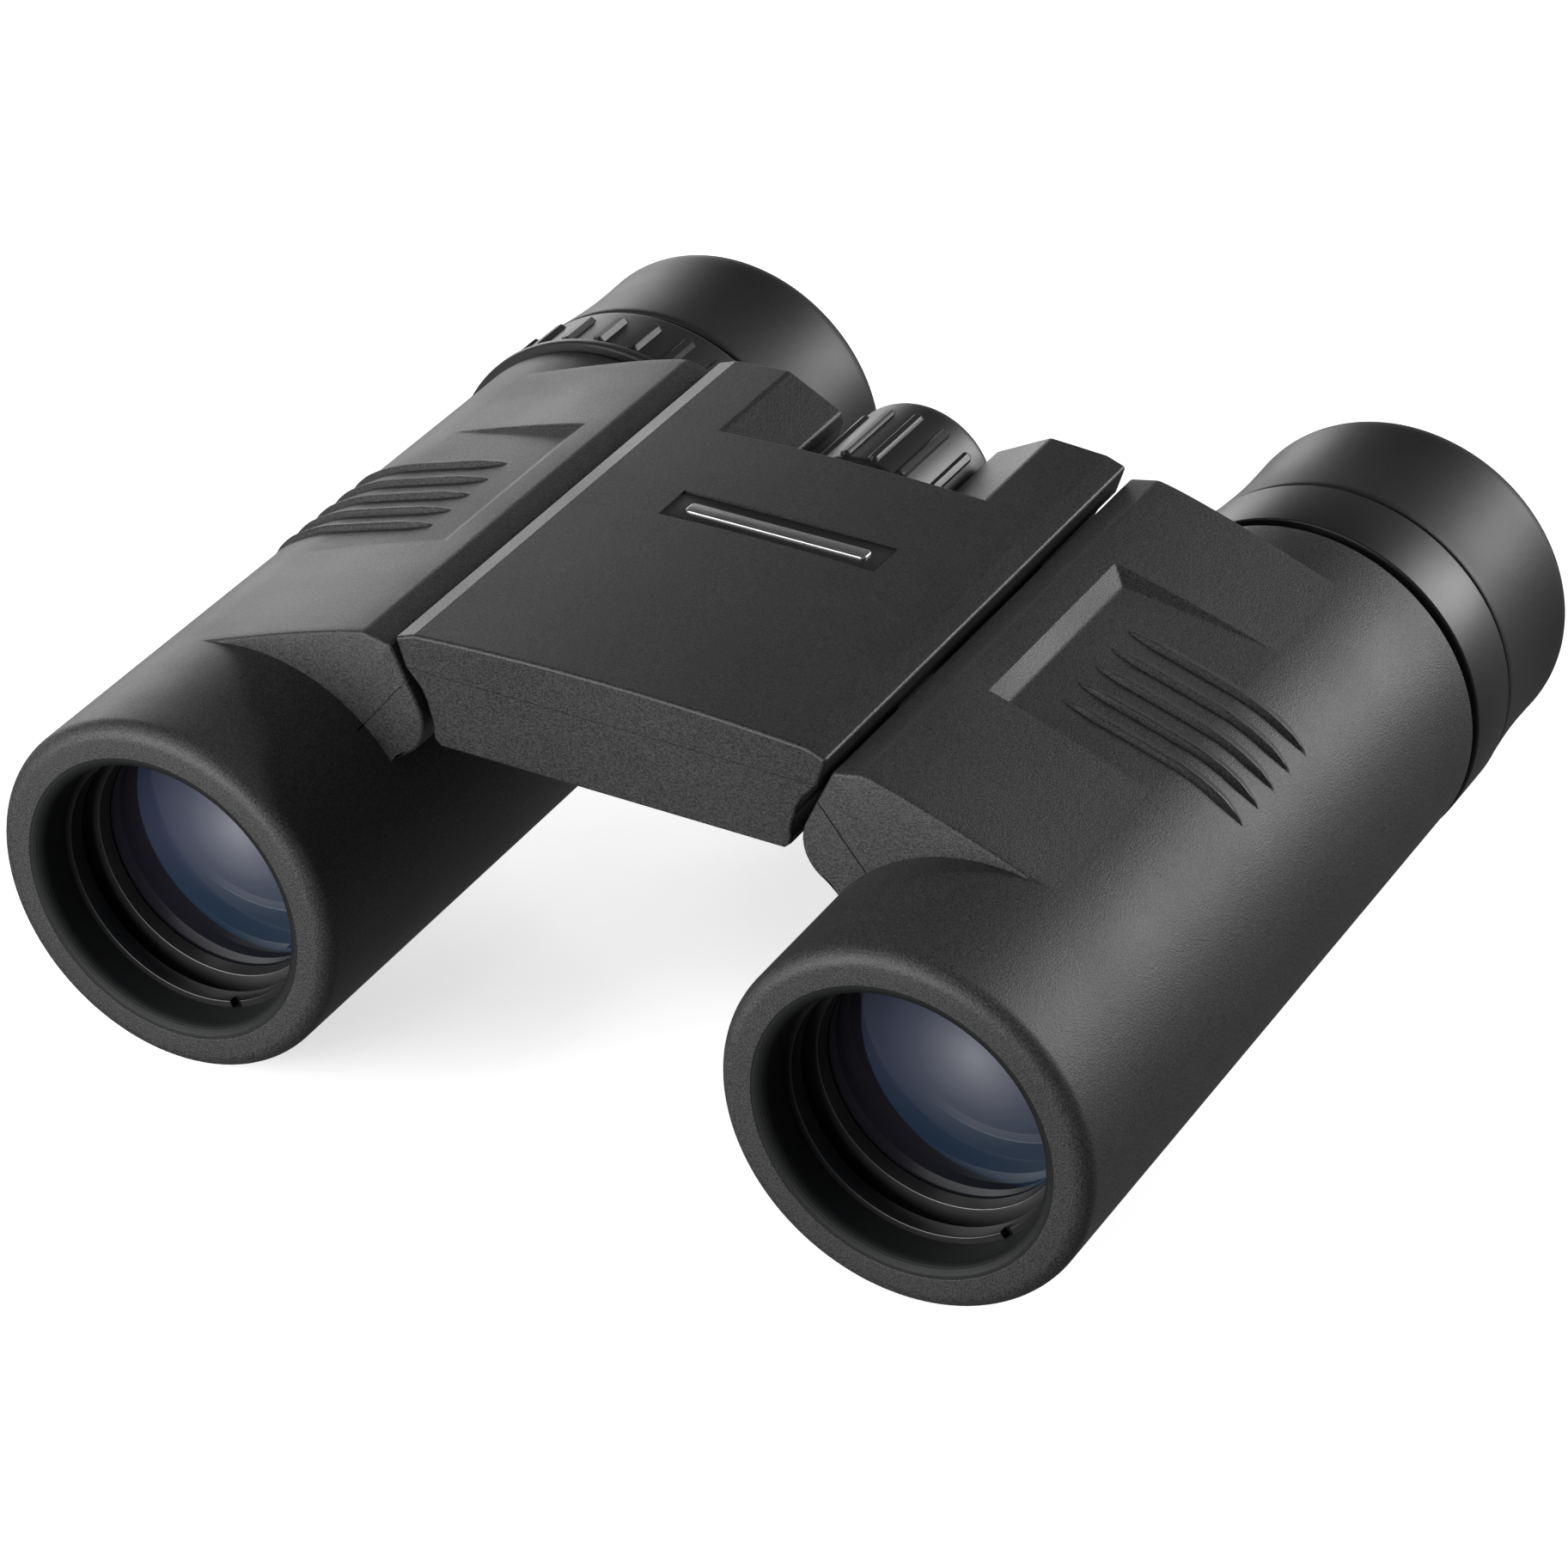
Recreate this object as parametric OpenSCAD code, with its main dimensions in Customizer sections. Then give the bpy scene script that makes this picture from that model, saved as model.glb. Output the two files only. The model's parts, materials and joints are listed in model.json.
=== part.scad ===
// Compact folding binoculars with two hinges and one central focus wheel.
// The objectives face -Y and the eyepieces face +Y. Z = 0 is the surface the barrels rest on.
// "left" and "right" are the user's own sides, so the left barrel is on +X.
// Sub-parts are drawn with y = 0 at the objective rims and z = 0 on the barrel axes,
// and seat() moves them into the part's frame.

/* [Overall] */
// Length from the objective rims to the eyecup rims
total_length = 104; // [103.5:0.5:106]
// Height of the barrel axes above the resting surface, which the diopter ring touches
axis_height = 18.4; // [18.4:0.1:19]

/* [Barrels] */
// Distance between the barrel axes with the binoculars fully open
barrel_spacing = 73.8; // [73.6:0.1:74]
// Outer radius of a barrel over its rubber armour
barrel_r = 17.5; // [17.4:0.05:17.6]
// Thickness of the rubber armour
armour_t = 1.3; // [1.2:0.05:1.4]
// Radius of the bore in which the objective cell slides
tube_bore_r = 15; // [14.98:0.01:15.1]
// Radius of the rim opening in front of the objective
rim_bore_r = 13.1; // [13:0.02:13.3]
// Radius of the armour's opening around the tube's front lip
rim_open_r = 14.22; // [14.2:0.02:14.3]
// Radius of the armour's front edge rounding
rim_round = 1.6; // [1:0.1:1.8]
// Rear end of the left barrel's armour
left_armour_end = 79; // [78.6:0.1:79.2]
// Rear end of the right barrel's armour
right_armour_end = 77.9; // [77.6:0.1:78]

/* [Hinges] */
// Distance of each hinge axis from the centre plane
hinge_x = 23.14; // [23.1:0.02:23.2]
// Height of the hinge axes above the barrel axes
hinge_z = 14.6; // [14.5:0.05:14.7]
// Angle through which a barrel folds in under the bridge
fold_angle = 56; // [40:1:56]
// Radius of the barrel's hinge lug
lug_r = 4.2; // [4.1:0.05:4.3]
// Radius of the bridge's hinge knuckles
knuckle_r = 3.5; // [3.3:0.05:3.5]
// Radius of the hinge pins
pin_r = 1.5; // [1.3:0.05:1.5]

/* [Bridge] */
// Front face of the bridge
bridge_front = 15.9; // [15.8:0.05:16.2]
// Rear end of the bridge's two horns
bridge_back = 73; // [72.6:0.1:73.2]
// Front wall of the focus wheel's notch
notch_front = 59.9; // [59.8:0.1:60.1]
// Underside of the bridge, above the barrel axes
bridge_bottom = 13.05; // [13:0.05:13.1]
// Split between the bridge's base and its cover
bridge_split = 20.3; // [20.2:0.05:20.4]
// Top of the cover at its chamfers
bridge_top = 23.8; // [23.6:0.05:24]
// Rise of the crowned cover at the centre plane
crown = 0.7; // [0.4:0.1:0.9]

/* [Focus] */
// Height of the focus axis above the barrel axes
focus_z = 16.2; // [16.1:0.05:16.3]
// Radius of the focus wheel over its ribs
wheel_r = 8.1; // [7.9:0.05:8.2]
// Number of ribs around the focus wheel
wheel_ribs = 18; // [16:1:20]
// Front and rear ends of the focus wheel
wheel_ends = [61, 74.2]; // [60:0.1:75]
// Radius of the lead screw
screw_r = 1.5; // [1.4:0.05:1.5]
// Middle of the focus carriage at rest
carriage_y = 45.5; // [45:0.1:46]

/* [Eyepieces] */
// Front and rear ends of the collar or diopter ring
collar_end = 87.2; // [87:0.1:87.4]
// Outer radius of the eyecups
eyecup_r = 17.5; // [17.3:0.05:17.6]
// Radius of the eyecup's opening
eyecup_bore_r = 10.5; // [10:0.1:11]
// Radius of the diopter ring's front flange
flange_r = 18.35; // [18.1:0.05:18.4]
// Number of ribs around the diopter ring
diopter_ribs = 24; // [20:1:26]

/* [Hidden] */

$fn = 64;
left = 1;
right = -1;
barrel_x = barrel_spacing / 2;
tube_r = barrel_r - armour_t;
armour_front_t = 1.5;
hinge = [hinge_x, hinge_z];
cut = 1; // overshoot of a cut past the face it opens
running = 0.05; // radial clearance of a running fit
gap = 0.3; // clearance between parts that move past each other

// Hinge stations along Y
lug_front = bridge_front;
lug_back = bridge_back;
lug_skin = 1.1;
lug_gap = [24, 62]; // the lug is cleared for the bridge between these
front_knuckle = [24.4, 34];
rear_knuckle = [52, 61.6];
washer_t = 0.35;
washer_play = 0.03;
pin_inset = 0.3;

// The lug's outline beside the bridge, up to the top of the wing
lug_upper_tangent = 157;
lug_lower_tangent = 235;
wing_gap_corner = [21.93, 22.03];
wing_crest = [24.8, 22.64];
wing_bend = [29.6, 21.68];
wing_steps = 8;
lug_foot = [22.54, 9.87];

// The wing's top leaves the barrel as a tangent at this angle from +X
wing_tangent = 69.5;
wing_end = [barrel_x + barrel_r * cos(wing_tangent), barrel_r * sin(wing_tangent)];

// Carriage, push rods and the arms on the objective cells
focus_travel = 1.8;
arm_y = 40;
arm_w = 3;
rod_groove_r = 1.2;
eye_r = 2.9;
arm_angle = atan2(hinge_z, hinge_x - barrel_x);
hinge_reach = norm([hinge_x - barrel_x, hinge_z]);

// Objective end
lip_front = 0.05;
lip_round = 1.1;
ring_y = 3.85;
ring_t = 1.2;
ring_bore_r = 12.52;
cell_y = [8.2, 46];
lens_r = 12.5;
lens_y = [9, 13.4];
lens_ring_bore_r = 11.85;

// Eyepiece end
ocular_r = 15.8;
neck_r = 13.6;
neck_y = [88, 99];
ocular_bore_r = 11;
ocular_cell_y = [78.5, 97.8];
eye_lens_r = 8.6;
field_lens_r = 9.2;
guide_r = 15;
sleeve_r = 16.1;
eyecup_y = 87.5;
diopter_travel = 1;
drive_pin_y = 83;
drive_pin_r = 1;
pin_slot = drive_pin_r + diopter_travel + 0.1; // half length of the slot around the drive pin

function mix(a, b, t) = a + (b - a) * t;
function bezier(a, b, c, t) = mix(mix(a, b, t), mix(b, c, t), t);
function on_circle(c, r, a) = c + r * [cos(a), sin(a)];
function mirrored(points) = [for (i = [len(points) - 1 : -1 : 0]) [-points[i][0], points[i][1]]];

// Moves a sub-part from its drawing frame into the part's frame.
module seat() {
  translate([0, -total_length / 2, axis_height]) children();
}

// Draws the +X side's shape on the chosen side.
module on_side(side) {
  seat() mirror([side < 0 ? 1 : 0, 0, 0]) children();
}

// Extrudes an X-Z outline along +Y from y0 to y1.
module along_y(y0, y1) {
  translate([0, y1, 0]) rotate([90, 0, 0]) linear_extrude(y1 - y0) children();
}

// Turns an outline of [radius, y] points about a Y axis through [x, z].
module turned(x, z) {
  translate([x, 0, z]) rotate([-90, 0, 0]) rotate_extrude($fn = 96) children();
}

// A rod or tube along Y.
module rod(x, z, r, y0, y1) {
  translate([x, y1, z]) rotate([90, 0, 0]) cylinder(r = r, h = y1 - y0);
}

module tube(x, z, r_out, r_in, y0, y1) {
  difference() {
    rod(x, z, r_out, y0, y1);
    rod(x, z, r_in, y0 - cut, y1 + cut);
  }
}

// ---------------------------------------------------------------- bridge

// Right half of the bridge's outline, from its crown down to its underside.
function bridge_side() = [
  [19.46, bridge_top], [21.4, bridge_top - 0.7], [20.5, bridge_split],
  [19.05, 18.6], [18.45, 17.4], [17.8, 13.6], [17.2, bridge_bottom]
];

function crown_arc(n) = [
  for (i = [1 : n - 1]) let (u = 1 - 2 * i / n)
    [-19.46 * u, bridge_top + crown * (1 - u * u)]
];

module bridge_outline() {
  difference() {
    polygon(concat(crown_arc(12), bridge_side(), mirrored(bridge_side())));
    for (side = [left, right]) translate([side * hinge_x, hinge_z]) circle(5.25);
  }
}

// Trough and clearance around the focus wheel.
module notch_outline() {
  polygon([
    [-13.7, 24], [-8.1, 21.2], [-8.1, 8], [8.1, 8], [8.1, 21.2], [13.7, 24], [13.7, 26], [-13.7, 26]
  ]);
  translate([0, focus_z]) circle(wheel_r + 0.8);
}

module bridge_blank() {
  difference() {
    along_y(bridge_front, bridge_back) bridge_outline();
    along_y(notch_front, bridge_back + cut) notch_outline();
  }
}

// Places the four screws that join the cover to the base.
module at_screws() {
  for (x = [-13.75, 13.75], y = [20.4, 55.4]) translate([x, y, bridge_bottom]) children();
}

// Hollow inside the bridge that holds the focus carriage.
cavity_x = 15.5;
cavity_y = [18, 57.9];
cavity_floor = 14.6;
tunnel_r = 4;
tunnel_bore_r = 3.2;
arm_z = [14.95, 17.3];
boss_foot = cavity_floor + 0.05;

// Outer shape of the base, with its hinge knuckles and the tunnel under the lead screw.
module base_blank() {
  intersection() {
    bridge_blank();
    translate([-30, 0, 0]) cube([60, 100, bridge_split]);
  }
  rod(0, focus_z, tunnel_r, 26, notch_front - 0.5);
  for (x = [-hinge_x, hinge_x], y = [front_knuckle, rear_knuckle]) {
    rod(x, hinge_z, knuckle_r, y[0], y[1]);
    translate([x < 0 ? x : cavity_x + 0.1, y[0], bridge_bottom])
      cube([hinge_x - cavity_x - 0.1, y[1] - y[0], 17.6 - bridge_bottom]);
  }
}

module bridge_base() {
  color("#232324") seat() difference() {
    union() {
      difference() {
        base_blank();
        translate([-cavity_x, cavity_y[0], cavity_floor])
          cube([2 * cavity_x, cavity_y[1] - cavity_y[0], 30]);
        rod(0, focus_z, tunnel_bore_r, 27, cavity_y[1]);
      }
      // front bearing of the lead screw
      rod(0, focus_z, 2.9, cavity_y[0] - 0.5, cavity_y[0] + 3.5);
    }
    // slots for the carriage's arms
    translate([-hinge_x, carriage_y - 4.8, cavity_floor])
      cube([2 * hinge_x, 9.6, arm_z[1] + gap - cavity_floor]);
    for (x = [-hinge_x, hinge_x], y = [front_knuckle, rear_knuckle])
      rod(x, hinge_z, pin_r, y[0] - cut, y[1] + cut);
    rod(0, focus_z, screw_r + running, 17.2, notch_front + cut);
    rod(0, focus_z, 3, 57.4, notch_front + cut);
    for (x = [-11, 11]) rod(x, 18.2, 1, 17.2, 58.8);
    at_screws() {
      translate([0, 0, -cut]) cylinder(r = 0.85, h = 9);
      translate([0, 0, -cut]) cylinder(r = 1.75, h = cut + 1.1);
    }
  }
}

module bridge_cover() {
  color("#1d1d1e") seat() difference() {
    union() {
      difference() {
        intersection() {
          bridge_blank();
          translate([-30, 0, bridge_split]) cube([60, 100, 10]);
        }
        translate([-cavity_x, cavity_y[0], bridge_split - cut])
          cube([2 * cavity_x, cavity_y[1] - cavity_y[0], 22.3 - bridge_split + cut]);
      }
      at_screws() translate([0, 0, boss_foot - bridge_bottom])
        cylinder(r = 1.65, h = 22.5 - boss_foot);
    }
    at_screws() cylinder(r = 0.8, h = 8.2);
    // pocket for the name plate
    translate([-11, 43.6, bridge_top + 0.1]) cube([22, 4.8, 2]);
  }
}

module name_plate() {
  color("#8d8f92") seat() translate([-10.9, 43.7, bridge_top + 0.1]) cube([21.8, 4.6, 0.2]);
}

module bridge_screws() {
  color("#3b3b3d") seat() at_screws() difference() {
    union() {
      cylinder(r = 1.7, h = 1.05);
      cylinder(r = 0.8, h = 8);
    }
    for (a = [0, 90]) rotate(a) translate([-1, -0.2, -cut]) cube([2, 0.4, cut + 0.5]);
  }
}

module hinge_pins() {
  color("#a9abae") seat() for (x = [-hinge_x, hinge_x]) {
    rod(x, hinge_z, pin_r, lug_front + lug_skin + pin_inset, front_knuckle[1]);
    rod(x, hinge_z, pin_r, rear_knuckle[0], lug_back - lug_skin - pin_inset);
  }
}

// Low-friction washers between the lugs and the bridge's knuckles.
module hinge_washers() {
  stations = [lug_gap[0] + washer_play, lug_gap[1] - washer_play - washer_t];
  color("#d9d4c5") seat() for (x = [-hinge_x, hinge_x], y = stations)
    tube(x, hinge_z, 3.1, pin_r, y, y + washer_t);
}

module guide_rods() {
  color("#a9abae") seat() for (x = [-11, 11]) rod(x, 18.2, 1, 17.2, 58.8);
}

module focus_bush() {
  color("#b08d4c") seat() tube(0, focus_z, 3, screw_r + running, 57.4, notch_front + 0.6);
}

// ---------------------------------------------------------------- focus wheel and carriage

module focus_screw() {
  color("#a9abae") seat() difference() {
    rod(0, focus_z, screw_r, 17.5, 71.2);
    // clip groove
    tube(0, focus_z, 2, 1.2, 56.2, 56.9);
  }
}

module screw_clip() {
  color("#55575a") seat() difference() {
    tube(0, focus_z, 2.7, 1.2, 56.25, 56.85);
    translate([-0.9, 56, focus_z]) cube([1.8, 1, 4]);
  }
}

cap_seat = 1.8; // depth of the cap's seat in the back of the wheel

module focus_hub() {
  color("#1a1a1b") seat() difference() {
    union() {
      rod(0, focus_z, wheel_r - 1.5, wheel_ends[0] + 0.4, wheel_ends[1] - 1);
      rod(0, focus_z, wheel_r - 0.7, wheel_ends[0] + 0.2, wheel_ends[0] + 0.8);
    }
    rod(0, focus_z, screw_r, wheel_ends[0] - cut, 72);
    rod(0, focus_z, 5, wheel_ends[1] - cap_seat, wheel_ends[1] + cut);
  }
}

// Ribbed rubber tyre of the focus wheel.
module focus_grip() {
  skin_r = wheel_r - 0.5;
  edge_r = 0.9;
  color("#1f1f20") seat() union() {
    turned(0, focus_z) polygon(concat(
      [[wheel_r - 1.5, wheel_ends[0] + 0.8], [skin_r - 0.4, wheel_ends[0] + 0.8],
       [skin_r, wheel_ends[0] + 1.2]],
      [for (a = [0 : 15 : 90])
        [skin_r - edge_r + edge_r * cos(a), wheel_ends[1] - edge_r + edge_r * sin(a)]],
      [[wheel_r - 1.5, wheel_ends[1]]]
    ));
    for (i = [0 : wheel_ribs - 1]) rotate_about_focus(360 / wheel_ribs * i)
      translate([-0.45, wheel_ends[0] + 1.6, skin_r - 0.3])
        cube([0.9, wheel_ends[1] - wheel_ends[0] - 3.2, 0.8]);
  }
}

module rotate_about_focus(a) {
  translate([0, 0, focus_z]) rotate([0, a, 0]) children();
}

module focus_cap() {
  color("#2a2a2c") seat() turned(0, focus_z)
    translate([0, wheel_ends[1] - cap_seat + 0.1])
      polygon([[0, 0], [4.95, 0], [4.95, 1.3], [4.5, 1.6], [0, 1.6]]);
}

module focus_carriage() {
  bar = 5;
  color("#4a4c50") seat() difference() {
    union() {
      translate([-13.4, carriage_y - bar / 2, arm_z[0]]) cube([26.8, bar, 4.6]);
      translate([-hinge_x, carriage_y - 2, arm_z[0]]) cube([2 * hinge_x, 4, arm_z[1] - arm_z[0]]);
      for (x = [-hinge_x, hinge_x]) rod(x, hinge_z, eye_r, carriage_y - 2, carriage_y + 2);
      rod(0, focus_z, tunnel_bore_r - 0.2, carriage_y - bar / 2, carriage_y + bar / 2);
    }
    rod(0, focus_z, 2.3, carriage_y - bar, carriage_y + bar);
    for (x = [-11, 11]) rod(x, 18.2, 1 + running, carriage_y - bar, carriage_y + bar);
    for (x = [-hinge_x, hinge_x]) rod(x, hinge_z, pin_r, carriage_y - bar, carriage_y + bar);
  }
}

module focus_nut() {
  color("#b08d4c") seat() difference() {
    union() {
      rod(0, focus_z, 2.3, carriage_y - 2.5, carriage_y + 3.6);
      rod(0, focus_z, 2.8, carriage_y + 2.5, carriage_y + 3.6);
    }
    rod(0, focus_z, screw_r + running, carriage_y - 5, carriage_y + 5);
  }
}

// Push rods on the hinge axes: they carry the focus motion past the hinges.
module push_rods() {
  color("#a9abae") seat() for (x = [-hinge_x, hinge_x]) {
    rod(x, hinge_z, pin_r, carriage_y - 2.2, carriage_y + 4);
    rod(x, hinge_z, rod_groove_r, arm_y - 2, carriage_y);
    rod(x, hinge_z, pin_r, arm_y - 3.4, arm_y - arm_w / 2 - 0.15);
    rod(x, hinge_z, pin_r, arm_y + arm_w / 2 + 0.15, carriage_y);
  }
}

// ---------------------------------------------------------------- barrels

// Outline of the lug and wing that reach from the barrel to its hinge, drawn in by inset.
module lug_outline(inset) {
  r = lug_r - inset;
  drop = [0, -inset];
  translate(hinge) circle(r);
  polygon(concat(
    [on_circle(hinge, r, lug_lower_tangent), on_circle(hinge, r, lug_upper_tangent),
     wing_gap_corner + [inset, -inset], wing_crest + drop],
    [for (i = [1 : wing_steps]) bezier(wing_crest, wing_bend, wing_end, i / wing_steps) + drop],
    [[barrel_x, 6], [26, 6], lug_foot + inset * [0.57, 0.82]]
  ));
}

// Space that the bridge's knuckles and their webs sweep while the barrel folds.
module hinge_sweep() {
  web_reach = 9;
  web_bottom = -1.85;
  web_h = 5.4;
  translate(hinge) {
    circle(knuckle_r + 0.35);
    for (a = [0 : 8 : fold_angle]) rotate(a)
      translate([-web_reach, web_bottom]) square([web_reach, web_h]);
  }
}

// The housing: a tube with the two halves of the hinge lug.
module barrel_tube(side, back) {
  color("#303032") on_side(side) difference() {
    union() {
      rod(barrel_x, 0, tube_r, armour_front_t, back);
      rod(barrel_x, 0, rim_open_r, lip_front, armour_front_t);
      along_y(lug_front + lug_skin, lug_back - lug_skin) lug_outline(1);
    }
    rod(barrel_x, 0, rim_bore_r, lip_front, ring_y + cut);
    // rounded inner edge of the lip
    turned(barrel_x, 0) translate([rim_bore_r, lip_front]) polygon(concat(
      [[-cut, lip_round], [-cut, -cut], [lip_round, -cut]],
      [for (a = [0 : 15 : 90]) lip_round * [1 - sin(a), 1 - cos(a)]]
    ));
    rod(barrel_x, 0, tube_bore_r, ring_y, back + cut);
    along_y(lug_gap[0], lug_gap[1]) hinge_sweep();
    rod(hinge_x, hinge_z, pin_r + running, lug_front, lug_gap[0] + cut);
    rod(hinge_x, hinge_z, pin_r + running, lug_gap[1] - cut, lug_back);
    arm_slot();
  }
}

// Slot in the barrel's wall through which the objective cell's arm reaches the push rod.
module arm_slot() {
  translate([barrel_x, 0, 0]) rotate([0, -arm_angle, 0])
    translate([12, arm_y - arm_w / 2 - focus_travel - gap, -2])
      cube([9, arm_w + 2 * (focus_travel + gap), 4]);
}

module barrel_armour(side, back) {
  color("#262627") on_side(side) difference() {
    union() {
      turned(barrel_x, 0) polygon(concat(
        [[10, rim_round], [10, 0], [barrel_r - rim_round, 0]],
        [for (a = [15 : 15 : 90])
          [barrel_r - rim_round + rim_round * sin(a), rim_round - rim_round * cos(a)]],
        [[barrel_r, back], [10, back]]
      ));
      along_y(lug_front, lug_back) lug_outline(0);
    }
    rod(barrel_x, 0, tube_r, armour_front_t, back + cut);
    rod(barrel_x, 0, rim_open_r, -cut, armour_front_t + cut);
    along_y(lug_front + lug_skin, lug_back - lug_skin) lug_outline(1);
    along_y(lug_gap[0], lug_gap[1]) hinge_sweep();
    arm_slot();
    thumb_rest();
  }
  color("#262627") on_side(side) grip_ribs();
}

// Sloping floor pressed into the wing for the thumb, deepest beside its inner rear corner.
module thumb_rest() {
  translate([27.5, 33, 22.4]) rotate([0, 19, 0]) rotate([-2.2, 0, 0])
    translate([0, 0, -0.1]) cube([14, 25, 3]);
}

// Five raised ribs wrapped around the barrel.
module grip_ribs() {
  rib_pitch = 3.2;
  for (i = [0 : 4]) difference() {
    turned(barrel_x, 0) polygon([
      [barrel_r - 0.3, 38.1 + rib_pitch * i], [barrel_r + 0.35, 38.4 + rib_pitch * i],
      [barrel_r + 0.35, 39.2 + rib_pitch * i], [barrel_r - 0.3, 39.5 + rib_pitch * i]
    ]);
    translate([barrel_x, 0, 0]) rotate([0, -44, 0]) translate([-40, 30, -60]) cube([80, 30, 60]);
    translate([barrel_x, 0, 0]) rotate([0, -80, 0]) translate([-40, 30, 0]) cube([80, 30, 60]);
  }
}

// Places a pair of opposite spanner notches, at angle a on the user's left and b on the right.
module at_notches(side, a, b) {
  for (turn = [0, 180]) translate([barrel_x, 0, 0]) rotate([0, turn - (side == left ? a : b), 0])
    children();
}

// Stop ring that rests against the back of the rim.
module objective_ring(side) {
  color("#19191a") on_side(side) difference() {
    tube(barrel_x, 0, tube_bore_r, ring_bore_r, ring_y, ring_y + ring_t);
    at_notches(side, -50.7, -110)
      translate([ring_bore_r - 1, ring_y - cut, -0.6]) cube([1.7, cut + 0.9, 1.2]);
  }
}

module objective_cell(side) {
  r = tube_bore_r - 0.08;
  color("#1b1b1c") on_side(side) difference() {
    union() {
      rod(barrel_x, 0, r, cell_y[0], cell_y[1]);
      translate([barrel_x, 0, 0]) rotate([0, -arm_angle, 0]) {
        translate([r - 1, arm_y - arm_w / 2, -1.5]) cube([hinge_reach - r - 1, arm_w, 3]);
        rod(hinge_reach, 0, eye_r, arm_y - arm_w / 2, arm_y + arm_w / 2);
      }
    }
    rod(barrel_x, 0, lens_r, 7, lens_y[1]);
    rod(barrel_x, 0, 11.6, 7, 20);
    rod(barrel_x, 0, r - 1.2, 15, cell_y[1] + cut);
    // fork around the push rod
    translate([barrel_x, 0, 0]) rotate([0, -arm_angle, 0]) {
      rod(hinge_reach, 0, rod_groove_r + running, arm_y - 3, arm_y + 3);
      translate([hinge_reach, arm_y - 3, -rod_groove_r - running])
        cube([5, 6, 2 * (rod_groove_r + running)]);
    }
  }
}

// Cemented pair: a biconvex front element and a concave rear element.
module objective_lens(side) {
  color("#5a63a8", 0.6) on_side(side) turned(barrel_x, 0) polygon(concat(
    [[0, lens_y[1] - 0.6]],
    [for (i = [0 : 8]) let (r = lens_r * i / 8) [r, lens_y[1] - 0.6 + 0.5 * pow(i / 8, 2)]],
    [for (i = [8 : -1 : 0]) let (r = lens_r * i / 8) [r, lens_y[0] - 0.9 + 1.5 * pow(i / 8, 2)]]
  ));
}

module lens_ring(side) {
  color("#19191a") on_side(side) difference() {
    tube(barrel_x, 0, tube_bore_r - 0.3, lens_ring_bore_r, 7.4, cell_y[0]);
    at_notches(side, 142, 38) translate([lens_ring_bore_r - 1, 7, -0.5]) cube([1.8, 0.8, 1]);
  }
}

// Cage of the two prisms, with light openings at both ends.
module prism_cage(side) {
  color("#2b2b2d") on_side(side) difference() {
    rod(barrel_x, 0, tube_bore_r, 49, 74);
    rod(barrel_x, 0, 8.5, 48, 75);
    translate([barrel_x - 8.3, 51, -11.5]) cube([16.6, 20.6, 23]);
  }
}

module roof_prism(side) {
  color("#b9d3dc", 0.5) on_side(side) translate([barrel_x - 8, 0, 0]) rotate([90, 0, 90])
    linear_extrude(16) polygon([[62, -9], [71, -9], [71, 9.5], [69, 9.5]]);
}

module penta_prism(side) {
  color("#b9d3dc", 0.5) on_side(side) translate([barrel_x - 8, 0, 0]) rotate([90, 0, 90])
    linear_extrude(16) polygon([[51.6, -9], [61.2, -9], [67.2, 7], [60, 10.8], [51.6, 7.5]]);
}

// ---------------------------------------------------------------- eyepieces

module ocular_housing(side, back) {
  color("#161617") on_side(side) difference() {
    union() {
      rod(barrel_x, 0, tube_bore_r, 75, back + cut);
      rod(barrel_x, 0, ocular_r, back, neck_y[0]);
      if (side == left) rod(barrel_x, 0, 16.7, back, 80);
      rod(barrel_x, 0, neck_r, neck_y[0], neck_y[1]);
    }
    rod(barrel_x, 0, ocular_bore_r, 74, neck_y[1] + cut);
    if (side == right)
      translate([barrel_x - drive_pin_r - 0.1, drive_pin_y - pin_slot, 0])
        cube([2 * drive_pin_r + 0.2, 2 * pin_slot, 20]);
  }
}

// Lens tube of the eyepiece; the right one carries the pin that the diopter ring drives.
module ocular_cell(side) {
  r = ocular_bore_r - running;
  color("#161617") on_side(side) difference() {
    union() {
      rod(barrel_x, 0, r, ocular_cell_y[0], ocular_cell_y[1]);
      if (side == right) translate([barrel_x, drive_pin_y, 10]) cylinder(r = drive_pin_r, h = 6.4);
    }
    rod(barrel_x, 0, 8, 70, 100);
    rod(barrel_x, 0, field_lens_r, 78, 83.2);
    rod(barrel_x, 0, eye_lens_r, 91, 96.6);
    turned(barrel_x, 0) polygon([[0, 96], [eye_lens_r - 0.3, 96], [10.3, 98], [0, 98]]);
  }
}

// Outline of a lens with crowned faces, r wide, between y0 and y1.
module lens_outline(r, y0, y1, bulge) {
  n = 8;
  polygon(concat(
    [for (i = [0 : n]) [r * i / n, y0 + bulge * (pow(i / n, 2))]],
    [for (i = [n : -1 : 0]) [r * i / n, y1 - bulge * (pow(i / n, 2))]]
  ));
}

module ocular_lenses(side) {
  color("#5f7f68", 0.6) on_side(side) {
    turned(barrel_x, 0) lens_outline(field_lens_r, 79.2, 83.2, 1);
    turned(barrel_x, 0) lens_outline(eye_lens_r, 91, 95.6, 1.2);
  }
}

module collar() {
  color("#1c1c1d") on_side(left) tube(barrel_x, 0, 17.6, ocular_r, 80, collar_end);
}

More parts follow.
